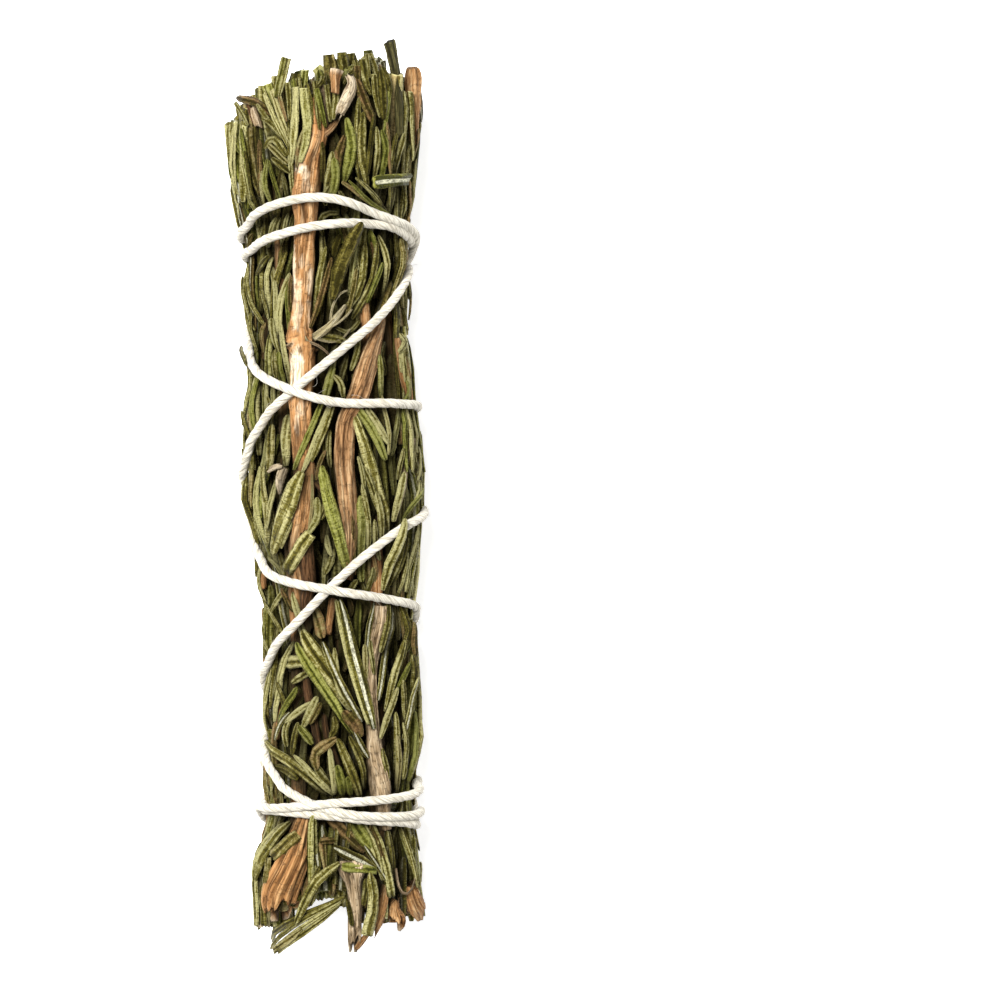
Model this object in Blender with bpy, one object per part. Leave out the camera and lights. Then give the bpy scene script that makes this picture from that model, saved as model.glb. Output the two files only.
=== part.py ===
"""Dried rosemary bundle, bound with one cotton string and lying on its side.

The sprigs are first packed side by side in a straight round bundle, in millimetres, with Y along
the bundle. laid_down() then gives every point its place in the real bundle: narrower where the
string draws it in, wider than it is high, and flat where it rests on the surface at Z = 0.
"""

import math
import random

import bmesh
import bpy
import numpy as np
from mathutils import Matrix, Vector

MM = 0.001

# The straight bundle
CORE_RADIUS = 11.2  # the packed sprigs fill this round core, and the string lies outside it
STATION_STEP = 4.0
STATIONS = np.arange(-66.0, 66.1, STATION_STEP)
SPRIG_GAP = 0.3  # left between two sprigs
PRESSING_ROUNDS = 500

# The real bundle: (Y, value) pairs along its length
CENTRE_X = [(-60, 0.4), (-38, 1.0), (-17, 0.9), (-8, 0.5), (1, 0.0), (12, -0.1), (26, -1.0), (36, -1.3), (60, -1.2)]
HALF_WIDTH = [(-60, 12.2), (-50, 11.8), (-38, 11.4), (-17, 11.4), (-8, 12.2), (1, 13.2), (12, 12.9),
              (26, 11.8), (36, 12.3), (45, 13.5), (60, 13.5)]
TOP_CUT = [(-14, 53), (-9, 55.5), (-4, 57.5), (0, 59), (6, 61.5), (9, 60), (13, 53)]  # (X, Y of the trimmed end)
STEM_CUT = [(-11, -60), (-6, -59.5), (-2, -56), (2, -57), (5, -59.5), (13, -59.5)]  # (X, Y of the stem end)
OUTER_LAYER = 1.2  # what lies outside the core, on the usual half width
HEIGHT_SHARE = 0.78  # the core's height over its width
UNDERSIDE_SQUARENESS = 0.35  # 0 leaves the lower half a half ellipse, and more makes it flatter
FLOOR_TO_CORE = 1.78  # the string fits between the core and the surface

# The string
STRING_DIAMETER = 1.5
STRING_GAP = 0.15
STRING_STEP = 2.4
FINE_STEP = 0.5
STRING_RAMP = 0.4  # how steeply the string climbs over a strand that it crosses
# One row for each turn: Y where it passes each of the angles below
TURN_ANGLES = (225, 180, 135, 90, 45, 0, -60)  # 180 is left, 90 on top, 0 right and 270 beneath
STRING_TURNS = [
    (-41.8, -43.9, -43.5, -44.0, -45.0, -45.4, -36.0),
    (-31.0, -25.7, -20.5, -12.1, -4.8, -2.3, -0.5),
    (0.9, 2.6, 10.1, 17.9, 25.4, 31.7, 32.8),
    (33.4, 33.7, 34.9, 37.0, 37.4, 35.8, 36.1),
    (36.2, 36.3, 38.7, 40.7, 38.4, 36.4, 30.0),
    (25.5, 22.6, 17.1, 13.1, 12.8, 12.6, 10.5),
    (1.8, -5.2, -10.7, -12.9, -14.4, -16.0, -21.5),
    (-29.6, -34.6, -40.1, -43.3, -44.2, -44.2, -46.6),
    (-47.6, -43.8, -43.1, -42.1, -41.5, -40.5, -39.8),
]
# The last end is hitched round the first turn
HITCH_ANGLE = 212
HITCH_LOOP = 1.75  # from the middle of one strand to the middle of the other
HITCH_PITCH = 2.1
TAIL_LENGTH = 3.0
APPROACH_Y = -39.2

# The sprigs: stem radius, radius with the leaves pressed to it, and where it lies in the straight bundle
SPRIG_RADIUS = 2.5
SPRIG_STEM_RADIUS = 0.85
SPRIG_PLACES = [(-8.2, 2.8), (-7.2, -4.4), (-2.8, -8.0), (2.8, -8.0), (7.2, -4.4), (8.3, 1.6),
                (5.6, 6.4), (0.4, 5.4), (-3.2, 1.0), (2.8, 0.6), (0.0, -3.2), (-6.2, 6.4)]
STEM_SIDES = 6
WHORL_STEP = 13.0
WHORL_LEAVES = 3
LEAF_BASE_HEIGHT = 1.6
# A leaf on a sprig, from its base to its tip: distance from the stem's middle, height, width, thickness
SPRIG_LEAF = [(1.35, 2.6, 1.0, 0.8), (1.86, 6.0, 1.6, 1.05), (1.86, 14.0, 1.6, 1.05), (1.7, 19.4, 0.8, 0.6)]

# Bare twigs: radius at the stem end, radius at the other end, lowest Y, highest Y, guides (Y, X, Z)
TWIGS = {
    "main_twig": (1.75, 1.5, -30, 58.5, [(60, -2.6, 9.2), (30, -3.2, 9.2), (0, -3.8, 9.0), (-30, -3.0, 8.0)]),
    "slanting_twig": (1.6, 1.4, -14, 30, [(30, 6.6, 7.0), (14, 4.2, 8.6), (0, 1.6, 9.4), (-14, 0.2, 9.4)]),
    "split_twig": (2.0, 1.5, -59.5, -44, [(-60, -7.0, 6.2), (-44, -3.2, 8.4)]),
    "pale_twig": (1.3, 1.5, -64.2, -46, [(-64, 2.2, 7.0), (-46, 0.8, 8.6)]),
    "tall_twig": (1.1, 1.2, 36, 64.2, [(64, 8.2, 6.8), (36, 7.6, 6.4)]),
}
TWIG_SIDES = 8
TWIG_RING_STEP = 5.0

# Loose leaves in the outer layer: length, width, thickness
LOOSE_LEAF = (17.0, 2.1, 1.3)
LOOSE_LEAF_COUNT = 30
LOOSE_LEAF_LEAN = 24.0  # the most that one leans from the bundle's direction, in degrees
# Those that the bundle rests on: angle round the bundle, Y of the middle
RESTING_LEAVES = [(-107, 48), (-73, 47), (-108, 16), (-75, 19), (-107, -14), (-74, -12), (-106, -55.8), (-74, -55.3)]
RESTING_LEAF = (12.0, 2.6, 2.4)
LEAF_SIDES = 6
# Share of the length, share of the width
LEAF_OUTLINE = [(0.0, 0.35), (0.12, 0.8), (0.4, 1.0), (0.8, 0.85), (1.0, 0.3)]

COLOURS = {"leaf": (0.16, 0.17, 0.05), "bark": (0.36, 0.2, 0.09), "string": (0.82, 0.79, 0.7)}


def along(pairs, at):
    """The value at a place, easing from one (place, value) pair to the next."""
    if at <= pairs[0][0]:
        return pairs[0][1]
    for (low, first), (high, second) in zip(pairs, pairs[1:]):
        if at <= high:
            share = (at - low) / (high - low)
            return first + (second - first) * share * share * (3 - 2 * share)
    return pairs[-1][1]


def core_point(x, z, y):
    """Where a point of the straight bundle's round core lies across the real bundle."""
    half_width = along(HALF_WIDTH, y) - OUTER_LAYER
    half_height = HEIGHT_SHARE * half_width
    across = x / CORE_RADIUS
    up = z / CORE_RADIUS
    if up < 0:
        square = math.copysign(math.sin(math.pi / 2 * min(1.0, abs(up))), up)
        up += UNDERSIDE_SQUARENESS * (square - up)
    return Vector((along(CENTRE_X, y) + half_width * across, half_height * (1 + up) + FLOOR_TO_CORE))


def laid_down(point):
    """A point of the straight bundle, in millimetres, as its place in the real one, in metres."""
    x, y, z = point
    distance = math.hypot(x, z)
    if distance <= CORE_RADIUS:
        place = core_point(x, z, y)
    else:
        angle = math.atan2(z, x)
        rim = [core_point(CORE_RADIUS * math.cos(a), CORE_RADIUS * math.sin(a), y)
               for a in (angle - 0.02, angle, angle + 0.02)]
        tangent = (rim[2] - rim[0]).normalized()
        place = rim[1] + (distance - CORE_RADIUS) * Vector((tangent.y, -tangent.x))
    return Vector((place.x, y, max(0.0, place.y))) * MM


# The string's route


def string_height(angle, angles, heights):
    """Y of the string at an angle that runs down through its turns, on a smooth curve."""
    after = max(1, min(len(angles) - 1, int(np.searchsorted(-np.array(angles), -angle))))
    start, end = angles[after - 1], angles[after]
    first, second = heights[after - 1], heights[after]

    def slope(i):
        low, high = max(0, i - 1), min(len(angles) - 1, i + 1)
        return (heights[high] - heights[low]) / (angles[high] - angles[low])

    span = end - start
    t = (angle - start) / span
    return (first * (1 + 2 * t) * (1 - t) ** 2 + slope(after - 1) * span * t * (1 - t) ** 2
            + second * t * t * (3 - 2 * t) + slope(after) * span * t * t * (t - 1))


def string_lifts(angles, heights, radius):
    """How far each fine point of the string is lifted, so that it passes over its earlier turns."""
    across = np.abs(angles[:, None] - angles[None, :]) % 360
    across = np.radians(np.minimum(across, 360 - across)) * radius
    apart = np.hypot(across, heights[:, None] - heights[None, :])
    order = np.arange(len(angles))
    earlier = order[:, None] - order[None, :] > 16
    reach = STRING_DIAMETER + STRING_GAP
    step_up = np.sqrt(np.clip(reach ** 2 - apart ** 2, 0, None))
    close = earlier & (apart < reach)
    plateau = 1.2
    ramp = np.clip(np.abs(order[:, None] - order[None, :]) * FINE_STEP - plateau, 0, None) * STRING_RAMP
    at_hitch = np.abs(angles - HITCH_ANGLE) * math.radians(radius) < HITCH_PITCH
    hitch = np.where(at_hitch, HITCH_LOOP, 0)
    lifts = hitch
    for _ in range(4):
        needed = np.maximum(hitch, np.where(close, lifts[None, :] + step_up, 0).max(axis=1))
        lifts = np.clip((needed[None, :] - ramp).max(axis=1), 0, None)
    return lifts


def string_route():
    """Fine points down the middle of the string: angle, Y and distance from the bundle's middle."""
    angles, heights = [HITCH_ANGLE + 20], [STRING_TURNS[0][0] + 0.3]
    for turn, row in enumerate(STRING_TURNS):
        angles += [a - 360 * turn for a in TURN_ANGLES]
        heights += row
    around = 360 * len(STRING_TURNS)
    angles.append(HITCH_ANGLE + 10 - around)
    heights.append(APPROACH_Y)
    radius = CORE_RADIUS + STRING_GAP + STRING_DIAMETER / 2
    fine_angles, fine_heights = [], []
    angle = angles[0]
    while angle > angles[-1]:
        height = string_height(angle, angles, heights)
        climb = (string_height(angle - 0.5, angles, heights) - height) / 0.5
        fine_angles.append(angle)
        fine_heights.append(height)
        angle -= FINE_STEP / math.hypot(math.radians(radius), climb)
    fine_angles, fine_heights = np.array(fine_angles), np.array(fine_heights)
    distances = radius + string_lifts(fine_angles, fine_heights, radius)

    first_y = float(np.interp(-HITCH_ANGLE, -fine_angles[:60], fine_heights[:60]))
    loop = []
    for step in range(13):
        turned = step / 12
        angle = HITCH_ANGLE - around + math.degrees((0.5 - turned) * HITCH_PITCH / radius)
        loop.append((angle, first_y + HITCH_LOOP * math.cos(2 * math.pi * turned),
                     radius + HITCH_LOOP * (1 + math.sin(2 * math.pi * turned))))
    angle, height, distance = loop[-1]
    tail = [(angle - 4, height + 0.4 * TAIL_LENGTH, distance + 0.5), (angle - 9, height + TAIL_LENGTH, distance + 0.6)]
    return list(zip(fine_angles, fine_heights, distances)), loop + tail


# Packing the sprigs


def routes_of(members):
    """The middle of each sprig and twig at every station, pressed apart until none touches another."""
    place = np.zeros((len(members), len(STATIONS), 2))
    radius = np.zeros((len(members), len(STATIONS)))
    for i, (low, high, width, guides) in enumerate(members):
        order = sorted(guides)
        for k, y in enumerate(STATIONS):
            place[i, k] = [along([(g[0], g[axis]) for g in order], y) for axis in (1, 2)]
            inside = low - STATION_STEP < y < high + STATION_STEP
            radius[i, k] = width if inside else 0
    wanted = place.copy()
    for turn in range(PRESSING_ROUNDS):
        for i in range(len(members)):
            for j in range(i + 1, len(members)):
                apart = place[i] - place[j]
                distance = np.maximum(np.hypot(apart[:, 0], apart[:, 1]), 1e-6)
                both = (radius[i] > 0) & (radius[j] > 0)
                overlap = np.where(both, np.clip(radius[i] + radius[j] + SPRIG_GAP - distance, 0, None), 0)
                push = apart * (overlap / distance / 2)[:, None]
                place[i] += push
                place[j] -= push
        if turn < PRESSING_ROUNDS * 0.8:
            middle = (place[:, :-2] + place[:, 2:]) / 2
            place[:, 1:-1] += 0.3 * (middle - place[:, 1:-1])
            place += 0.004 * (wanted - place)
        distance = np.maximum(np.hypot(place[..., 0], place[..., 1]), 1e-6)
        room = CORE_RADIUS - SPRIG_GAP / 2 - radius
        place *= np.minimum(1, room / distance)[..., None]
    return place


def route_point(route, y):
    return Vector((float(np.interp(y, STATIONS, route[:, 0])), float(np.interp(y, STATIONS, route[:, 1]))))


# Solids


def finished(name, bm, collection, colour):
    """Makes a bmesh in the straight bundle an object in the real one."""
    for vert in bm.verts:
        vert.co = laid_down(vert.co)
    bmesh.ops.recalc_face_normals(bm, faces=bm.faces)
    if bm.calc_volume(signed=True) < 0:
        bmesh.ops.reverse_faces(bm, faces=bm.faces)
    mesh = bpy.data.meshes.new(name)
    bm.to_mesh(mesh)
    bm.free()
    mesh.shade_smooth()
    mesh.set_sharp_from_angle(angle=math.radians(40))
    mesh.materials.append(material(colour))
    obj = bpy.data.objects.new(name, mesh)
    collection.objects.link(obj)
    return obj


def material(name):
    found = bpy.data.materials.get(name)
    if found:
        return found
    made = bpy.data.materials.new(name)
    made.use_nodes = True
    shader = made.node_tree.nodes["Principled BSDF"]
    shader.inputs["Base Color"].default_value = (*COLOURS[name], 1)
    shader.inputs["Roughness"].default_value = 0.8
    shader.inputs["Metallic"].default_value = 0
    return made


def upright_rod(sides, radius, heights):
    """A capped rod along Z with a ring of points at each height."""
    bm = bmesh.new()
    bmesh.ops.create_cone(bm, cap_ends=True, cap_tris=False, segments=sides, radius1=radius, radius2=radius,
                          depth=heights[-1] - heights[0])
    bmesh.ops.translate(bm, verts=bm.verts, vec=(0, 0, (heights[0] + heights[-1]) / 2))
    for height in heights[1:-1]:
        bmesh.ops.bisect_plane(bm, geom=bm.verts[:] + bm.edges[:] + bm.faces[:], plane_co=(0, 0, height),
                               plane_no=(0, 0, 1))
    return bm


def grow_leaf(bm, face, base_height):
    """Extrudes one leaf from a face of the stem, out and then up along it."""
    middle = face.calc_center_median()
    outward = Vector((middle.x, middle.y, 0)).normalized()
    sideways = Vector((-outward.y, outward.x, 0))
    for distance, height, width, thickness in SPRIG_LEAF:
        corners = [(v.co.copy(), v.co.dot(sideways) > 0, v.co.z > middle.z) for v in face.verts]
        if height == SPRIG_LEAF[0][1]:
            labels = [(co, right, upper) for co, right, upper in corners]
        face = bmesh.ops.extrude_discrete_faces(bm, faces=[face])["faces"][0]
        made = []
        for vert in face.verts:
            _, right, inner = min(labels, key=lambda c: (c[0] - vert.co).length)
            out = distance + (-0.5 if inner else 0.5) * thickness
            side = (0.5 if right else -0.5) * width
            place = outward * out + sideways * side + Vector((0, 0, base_height + height))
            made.append((place, right, inner))
            vert.co = place
        labels = made


def sprig_heights(low, high):
    """The heights of a stem's rings, with a short band where each whorl of leaves grows."""
    bands = []
    height = low + 2.0
    while height + SPRIG_LEAF[-1][1] < high:
        bands.append(height)
        height += WHORL_STEP
    rings = sorted([low, high] + bands + [b + LEAF_BASE_HEIGHT for b in bands])
    return rings, bands


def follow(bm, route):
    """Lays an upright rod along a route through the straight bundle, its Z along Y."""
    for vert in bm.verts:
        middle = route_point(route, vert.co.z)
        vert.co = Vector((middle.x + vert.co.x, vert.co.z, middle.y - vert.co.y))


def build_sprig(name, route, low, high, turned, collection):
    rings, bands = sprig_heights(low, high)
    bm = upright_rod(STEM_SIDES, SPRIG_STEM_RADIUS, rings)
    bmesh.ops.rotate(bm, verts=bm.verts, cent=(0, 0, 0), matrix=Matrix.Rotation(turned, 3, "Z"))
    for whorl, band in enumerate(bands):
        sides = [f for f in bm.faces
                 if len(f.verts) == 4 and abs(f.normal.z) < 0.5
                 and abs(f.calc_center_median().z - band - LEAF_BASE_HEIGHT / 2) < 0.05]
        sides.sort(key=lambda f: math.atan2(f.calc_center_median().y, f.calc_center_median().x))
        for face in sides[whorl % 2::STEM_SIDES // WHORL_LEAVES]:
            grow_leaf(bm, face, band)
    follow(bm, route)
    return finished(name, bm, collection, "leaf")


def build_twig(name, route, low, high, low_radius, high_radius, collection):
    count = max(2, round((high - low) / TWIG_RING_STEP))
    heights = [low + (high - low) * i / count for i in range(count + 1)]
    bm = upright_rod(TWIG_SIDES, 1.0, heights)
    for vert in bm.verts:
        share = (vert.co.z - low) / (high - low)
        radius = low_radius + (high_radius - low_radius) * share
        vert.co.x *= radius
        vert.co.y *= radius
    follow(bm, route)
    return finished(name, bm, collection, "bark")


def on_surface(angle, y, lean, across, forward, out):
    """A point of a leaf that lies on the straight bundle, wrapped round it."""
    turn = math.radians(lean)
    sideways = forward * math.sin(turn) + across * math.cos(turn)
    distance = CORE_RADIUS + out
    at = math.radians(angle) - sideways / distance
    return Vector((distance * math.cos(at), y + forward * math.cos(turn) - across * math.sin(turn),
                   distance * math.sin(at)))


def build_loose_leaf(name, angle, y, lean, size, collection):
    length, width, thickness = size
    heights = [length * (share - 0.5) for share, _ in LEAF_OUTLINE]
    bm = upright_rod(LEAF_SIDES, 1.0, heights)
    bmesh.ops.rotate(bm, verts=bm.verts, cent=(0, 0, 0), matrix=Matrix.Rotation(math.pi / LEAF_SIDES, 3, "Z"))
    for vert in bm.verts:
        share = along(LEAF_OUTLINE, vert.co.z / length + 0.5)
        across = vert.co.x * width / 2 * share
        out = STRING_GAP + thickness / 2 + vert.co.y * thickness / 2 * min(1.0, share + 0.1)
        vert.co = on_surface(angle, y, lean, across, vert.co.z, out)
    return finished(name, bm, collection, "leaf")


def free_places(route, taken):
    """Places for the loose leaves, clear of the string and of each other: angle, Y and lean."""
    draw = random.Random(7)
    length, width, _ = LOOSE_LEAF
    string_points = [(angle, y) for angle, y, _ in route[0] + route[1]]
    leaf_points, places = list(taken), []

    def clear(points, others, distance):
        near = np.array(others)
        for angle, y in points:
            turn = np.abs(near[:, 0] - angle) % 360
            across = np.radians(np.minimum(turn, 360 - turn)) * CORE_RADIUS
            if np.hypot(across, near[:, 1] - y).min() < distance:
                return False
        return True

    for _ in range(6000):
        angle, y = draw.uniform(-70, 250), draw.uniform(-51, 46)
        lean = draw.uniform(-LOOSE_LEAF_LEAN, LOOSE_LEAF_LEAN)
        points = leaf_line(angle, y, lean, length)
        if clear(points, string_points, width / 2 + STRING_DIAMETER / 2 + 0.35) and clear(points, leaf_points,
                                                                                         width + 0.5):
            places.append((angle, y, lean))
            leaf_points += points
        if len(places) == LOOSE_LEAF_COUNT:
            break
    return places


def leaf_line(angle, y, lean, length):
    """Points down the middle of a leaf: angle and Y."""
    turn = math.radians(lean)
    return [(angle - math.degrees(s * math.sin(turn) / CORE_RADIUS), y + s * math.cos(turn))
            for s in np.linspace(-length / 2, length / 2, 9)]


def build_string(route, collection):
    wound, hitch = route
    picked = wound[::round(STRING_STEP / FINE_STEP)] + hitch
    curve = bpy.data.curves.new("binding_string", "CURVE")
    curve.dimensions = "3D"
    curve.bevel_depth = STRING_DIAMETER / 2 * MM
    curve.bevel_resolution = 1
    curve.use_fill_caps = True
    spline = curve.splines.new("POLY")
    spline.points.add(len(picked) - 1)
    for point, (angle, height, distance) in zip(spline.points, picked):
        turn = math.radians(angle)
        place = laid_down((distance * math.cos(turn), height, distance * math.sin(turn)))
        point.co = (*place, 1)
    curve.materials.append(material("string"))
    obj = bpy.data.objects.new("binding_string", curve)
    collection.objects.link(obj)
    return obj


def build():
    for obj in list(bpy.data.objects):
        bpy.data.objects.remove(obj, do_unlink=True)
    collection = bpy.data.collections.new("rosemary_bundle")
    bpy.context.scene.collection.children.link(collection)

    members = [(-70, 70, SPRIG_RADIUS, [(0, x, z)]) for x, z in SPRIG_PLACES]
    members += [(low, high, max(first, second), guides) for first, second, low, high, guides in TWIGS.values()]
    routes = routes_of(members)

    for i, route in enumerate(routes[:len(SPRIG_PLACES)]):
        low = along(STEM_CUT, route_point(route, -60).x)
        high = along(TOP_CUT, route_point(route, 58).x) - 1.0
        build_sprig(f"sprig_{i + 1:02d}", route, low, high, i * 0.7, collection)
    for (name, (first, second, low, high, _)), route in zip(TWIGS.items(), routes[len(SPRIG_PLACES):]):
        build_twig(name, route, low, high, first, second, collection)

    string = string_route()
    build_string(string, collection)

    taken = [p for angle, y in RESTING_LEAVES for p in leaf_line(angle, y, 0, RESTING_LEAF[0] + 4)]
    places = [(angle, y, 0, RESTING_LEAF) for angle, y in RESTING_LEAVES]
    places += [(*place, LOOSE_LEAF) for place in free_places(string, taken)]
    for i, (angle, y, lean, size) in enumerate(places):
        build_loose_leaf(f"leaf_{i + 1:02d}", angle, y, lean, size, collection)


build()
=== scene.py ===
# Dried rosemary bundle bound with white cotton string, lying on a pale table and seen from straight above
import math
import random

import bmesh
import bpy
import numpy as np
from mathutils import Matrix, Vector, noise


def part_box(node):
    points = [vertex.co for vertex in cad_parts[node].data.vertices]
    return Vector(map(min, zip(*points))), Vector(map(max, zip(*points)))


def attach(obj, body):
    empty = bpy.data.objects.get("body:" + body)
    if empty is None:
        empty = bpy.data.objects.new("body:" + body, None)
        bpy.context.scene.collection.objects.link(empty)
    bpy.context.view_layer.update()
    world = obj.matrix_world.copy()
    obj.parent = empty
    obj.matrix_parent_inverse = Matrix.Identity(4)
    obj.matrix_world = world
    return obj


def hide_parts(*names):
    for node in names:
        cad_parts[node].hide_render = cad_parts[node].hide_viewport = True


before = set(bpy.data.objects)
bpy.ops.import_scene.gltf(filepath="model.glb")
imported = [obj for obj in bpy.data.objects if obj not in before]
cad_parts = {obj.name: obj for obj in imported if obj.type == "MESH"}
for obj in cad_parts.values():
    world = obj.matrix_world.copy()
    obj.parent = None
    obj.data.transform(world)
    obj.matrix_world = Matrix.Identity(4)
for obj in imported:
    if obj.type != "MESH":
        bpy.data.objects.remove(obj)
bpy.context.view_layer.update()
mm = 0.001
bpy.ops.object.select_all(action="DESELECT")


def pointsOf(mesh):
    points = np.empty(len(mesh.vertices) * 3)
    mesh.vertices.foreach_get("co", points)
    return points.reshape(-1, 3)


def unit(rows):
    return rows / np.linalg.norm(rows, axis=1, keepdims=True)


def lineLength(points):
    return float(np.linalg.norm(np.diff(points, axis=0), axis=1).sum())


def fromTable(place, rows):  # rows of (place, value), read between them
    return np.interp(place, *zip(*rows))


def readAlong(at, *lines):  # lines of vectors, each read at these shares of its length
    order = np.linspace(0, 1, len(lines[0]))
    return (np.stack([np.interp(at, order, line[:, k]) for k in range(3)], -1) for line in lines)


def roundNoise(turns, heights, spread, octaves, seed=0.0, rough=0.8):  # noise that closes round a tube
    return np.array([noise.fractal(Vector((math.cos(t) * spread + seed, math.sin(t) * spread, h)), rough, 2.1, octaves)
                     for t, h in zip(turns, heights)])


def newMaterial(name, **values):
    look = bpy.data.materials.new(name)
    look.use_nodes = True
    shader = look.node_tree.nodes["Principled BSDF"]
    for socket, value in values.items():
        shader.inputs[socket].default_value = value
    return look, look.node_tree, shader


# Camera, table and light

view = {"middle": (23.4, -0.5), "height": 400.0, "lens": 100.0, "sensor": 36.0}

camera = bpy.data.objects.new("camera", bpy.data.cameras.new("camera"))
camera.data.lens = view["lens"]
camera.data.sensor_width = view["sensor"]
camera.location = (view["middle"][0] * mm, view["middle"][1] * mm, view["height"] * mm)
camera.data.clip_start = 0.01
bpy.context.scene.collection.objects.link(camera)
bpy.context.scene.camera = camera

studio = {
    "tableSize": 4.0, "tableColour": (0.93, 0.935, 0.94), "tableGlow": 0.62, "surround": 0.56,
    "keyPower": 14.0, "keySize": 0.3, "keyPlace": (-0.2, 0.24, 0.72),
}


def makeTable():
    bpy.ops.mesh.primitive_plane_add(size=studio["tableSize"], location=(0, 0, -0.00005))
    table = bpy.context.object
    table.name = "table"
    table.data.materials.append(newMaterial("tableTop", **{
        "Base Color": (*studio["tableColour"], 1), "Roughness": 0.9, "Specular IOR Level": 0.1,
        "Emission Color": (1, 1, 1, 1), "Emission Strength": studio["tableGlow"]})[0])


def makeLight():
    lamp = bpy.data.lights.new("key", "AREA")
    lamp.energy = studio["keyPower"]
    lamp.size = studio["keySize"]
    key = bpy.data.objects.new("key", lamp)
    key.location = studio["keyPlace"]
    key.rotation_euler = (-Vector(studio["keyPlace"])).to_track_quat("-Z", "Y").to_euler()
    bpy.context.scene.collection.objects.link(key)
    world = bpy.data.worlds.new("surround")
    world.use_nodes = True
    tree = world.node_tree
    tree.nodes["Background"].inputs["Color"].default_value = (1, 1, 1, 1)
    path = tree.nodes.new("ShaderNodeLightPath")  # what is seen past the table's edge is plain white
    shown = tree.nodes.new("ShaderNodeMapRange")
    tree.links.new(path.outputs["Is Camera Ray"], shown.inputs["Value"])
    shown.inputs["To Min"].default_value = studio["surround"]
    shown.inputs["To Max"].default_value = 1.0
    tree.links.new(shown.outputs["Result"], tree.nodes["Background"].inputs["Strength"])
    bpy.context.scene.world = world
    bpy.context.scene.view_settings.view_transform = "Standard"


makeTable()
makeLight()


# The bundle's skin: a smooth form that the outermost leaves just reach.
# A place on it is (s, y, out): round from the top towards the right, along, and out from it, all in millimetres.

skin = {
    "outline": [  # y, left edge, right edge
        (-64, -11.4, 12.7), (-58, -11.5, 12.7), (-52.3, -11.8, 12.9), (-46.7, -10.8, 12.3), (-38.3, -10.4, 12.5),
        (-32.7, -10.5, 12.7), (-27.1, -10.4, 12.7), (-21.5, -10.6, 12.5), (-15.9, -10.4, 12.3), (-10.3, -11.5, 12.2),
        (-4.7, -12.2, 13.4), (0.9, -13.3, 13.3), (9.3, -13.0, 12.7), (14.9, -12.9, 11.9), (20.5, -13.2, 11.1),
        (26.1, -12.7, 10.9), (31.7, -13.1, 11.1), (37.3, -13.9, 11.5), (42.9, -14.9, 12.0), (48.5, -15.5, 12.8),
        (54.1, -15.7, 12.6), (66, -15.7, 12.4)],
    "heightShare": 0.79,  # of the width
    "undersideSquareness": 0.4,
    "topCut": [(-15, 51.5), (-13, 53.5), (-10.5, 56.0), (-7, 57.3), (-3, 58.2), (0, 59.6), (3, 60.6), (6, 61.2),
        (8, 59), (12, 58.6), (14, 52)],
    "stemCut": [(-13, -60), (-9, -60), (-6.5, -58.5), (-4.6, -56.5), (-3, -55), (1, -55), (2.2, -57.5), (5, -59),
        (9, -60), (14, -59)],
}

fineY = np.arange(-70, 70.01, 0.5)


def smoothed(values, reach=6):
    kernel = np.hanning(2 * reach + 3)[1:-1]
    padded = np.pad(values, reach, mode="edge")
    return np.convolve(padded, kernel / kernel.sum(), mode="valid")


outline = np.array(skin["outline"])
leftEdge = smoothed(np.interp(fineY, outline[:, 0], outline[:, 1]))
rightEdge = smoothed(np.interp(fineY, outline[:, 0], outline[:, 2]))
middleX = (leftEdge + rightEdge) / 2
halfWidth = (rightEdge - leftEdge) / 2
halfHeight = halfWidth * skin["heightShare"]

ringAngle = np.linspace(-math.pi / 2, 1.5 * math.pi, 1441)  # from beneath, up the right side, over and down the left
ringX = np.cos(ringAngle)
ringZ = np.sin(ringAngle)
ringZ = np.where(ringZ < 0, ringZ - skin["undersideSquareness"] * (np.sin(math.pi / 2 * -ringZ) + ringZ), ringZ)
stepLengths = np.hypot(np.diff(ringX) * halfWidth.mean(), np.diff(ringZ) * halfHeight.mean())
girth = stepLengths.sum()
ringS = girth / 2 - np.concatenate([[0], np.cumsum(stepLengths)])  # runs down from half the girth


def onceRound(s):
    return (np.asarray(s, float) + girth / 2) % girth - girth / 2


def girthAt(y):
    return (np.interp(y, fineY, values) for values in (halfWidth, halfHeight, middleX))


def ringAt(s):
    return (np.interp(s, ringS[::-1], values[::-1]) for values in (ringX, ringZ))


def onSkin(s, y, out):
    s = onceRound(s)
    half, tall, middle = girthAt(y)
    x, z = ringAt(s)
    aheadX, aheadZ = ringAt(onceRound(s + 0.4))
    behindX, behindZ = ringAt(onceRound(s - 0.4))
    alongX, alongZ = (aheadX - behindX) * half, (aheadZ - behindZ) * tall
    size = np.hypot(alongX, alongZ)
    normal = np.stack([-alongZ / size, np.zeros_like(size), alongX / size], -1)
    place = np.stack([middle + half * x, np.asarray(y, float) + 0 * half, tall * (1 + z) + 0.05], -1)
    return place + normal * np.asarray(out, float)[..., None], normal


def topS(x, y):  # the place s on the upper side that lies at this x
    half, _, middle = girthAt(y)
    upper = ringZ > -0.02
    return np.interp((x - middle) / half, ringX[upper][::-1], ringS[upper][::-1])


def flank(s):  # 1 on the sides, 0 on top and beneath
    away = np.abs(onceRound(s))
    return np.clip((away - 11) / 4, 0, 1) * np.clip((26 - away) / 4, 0, 1)


# The string's route over the skin

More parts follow.
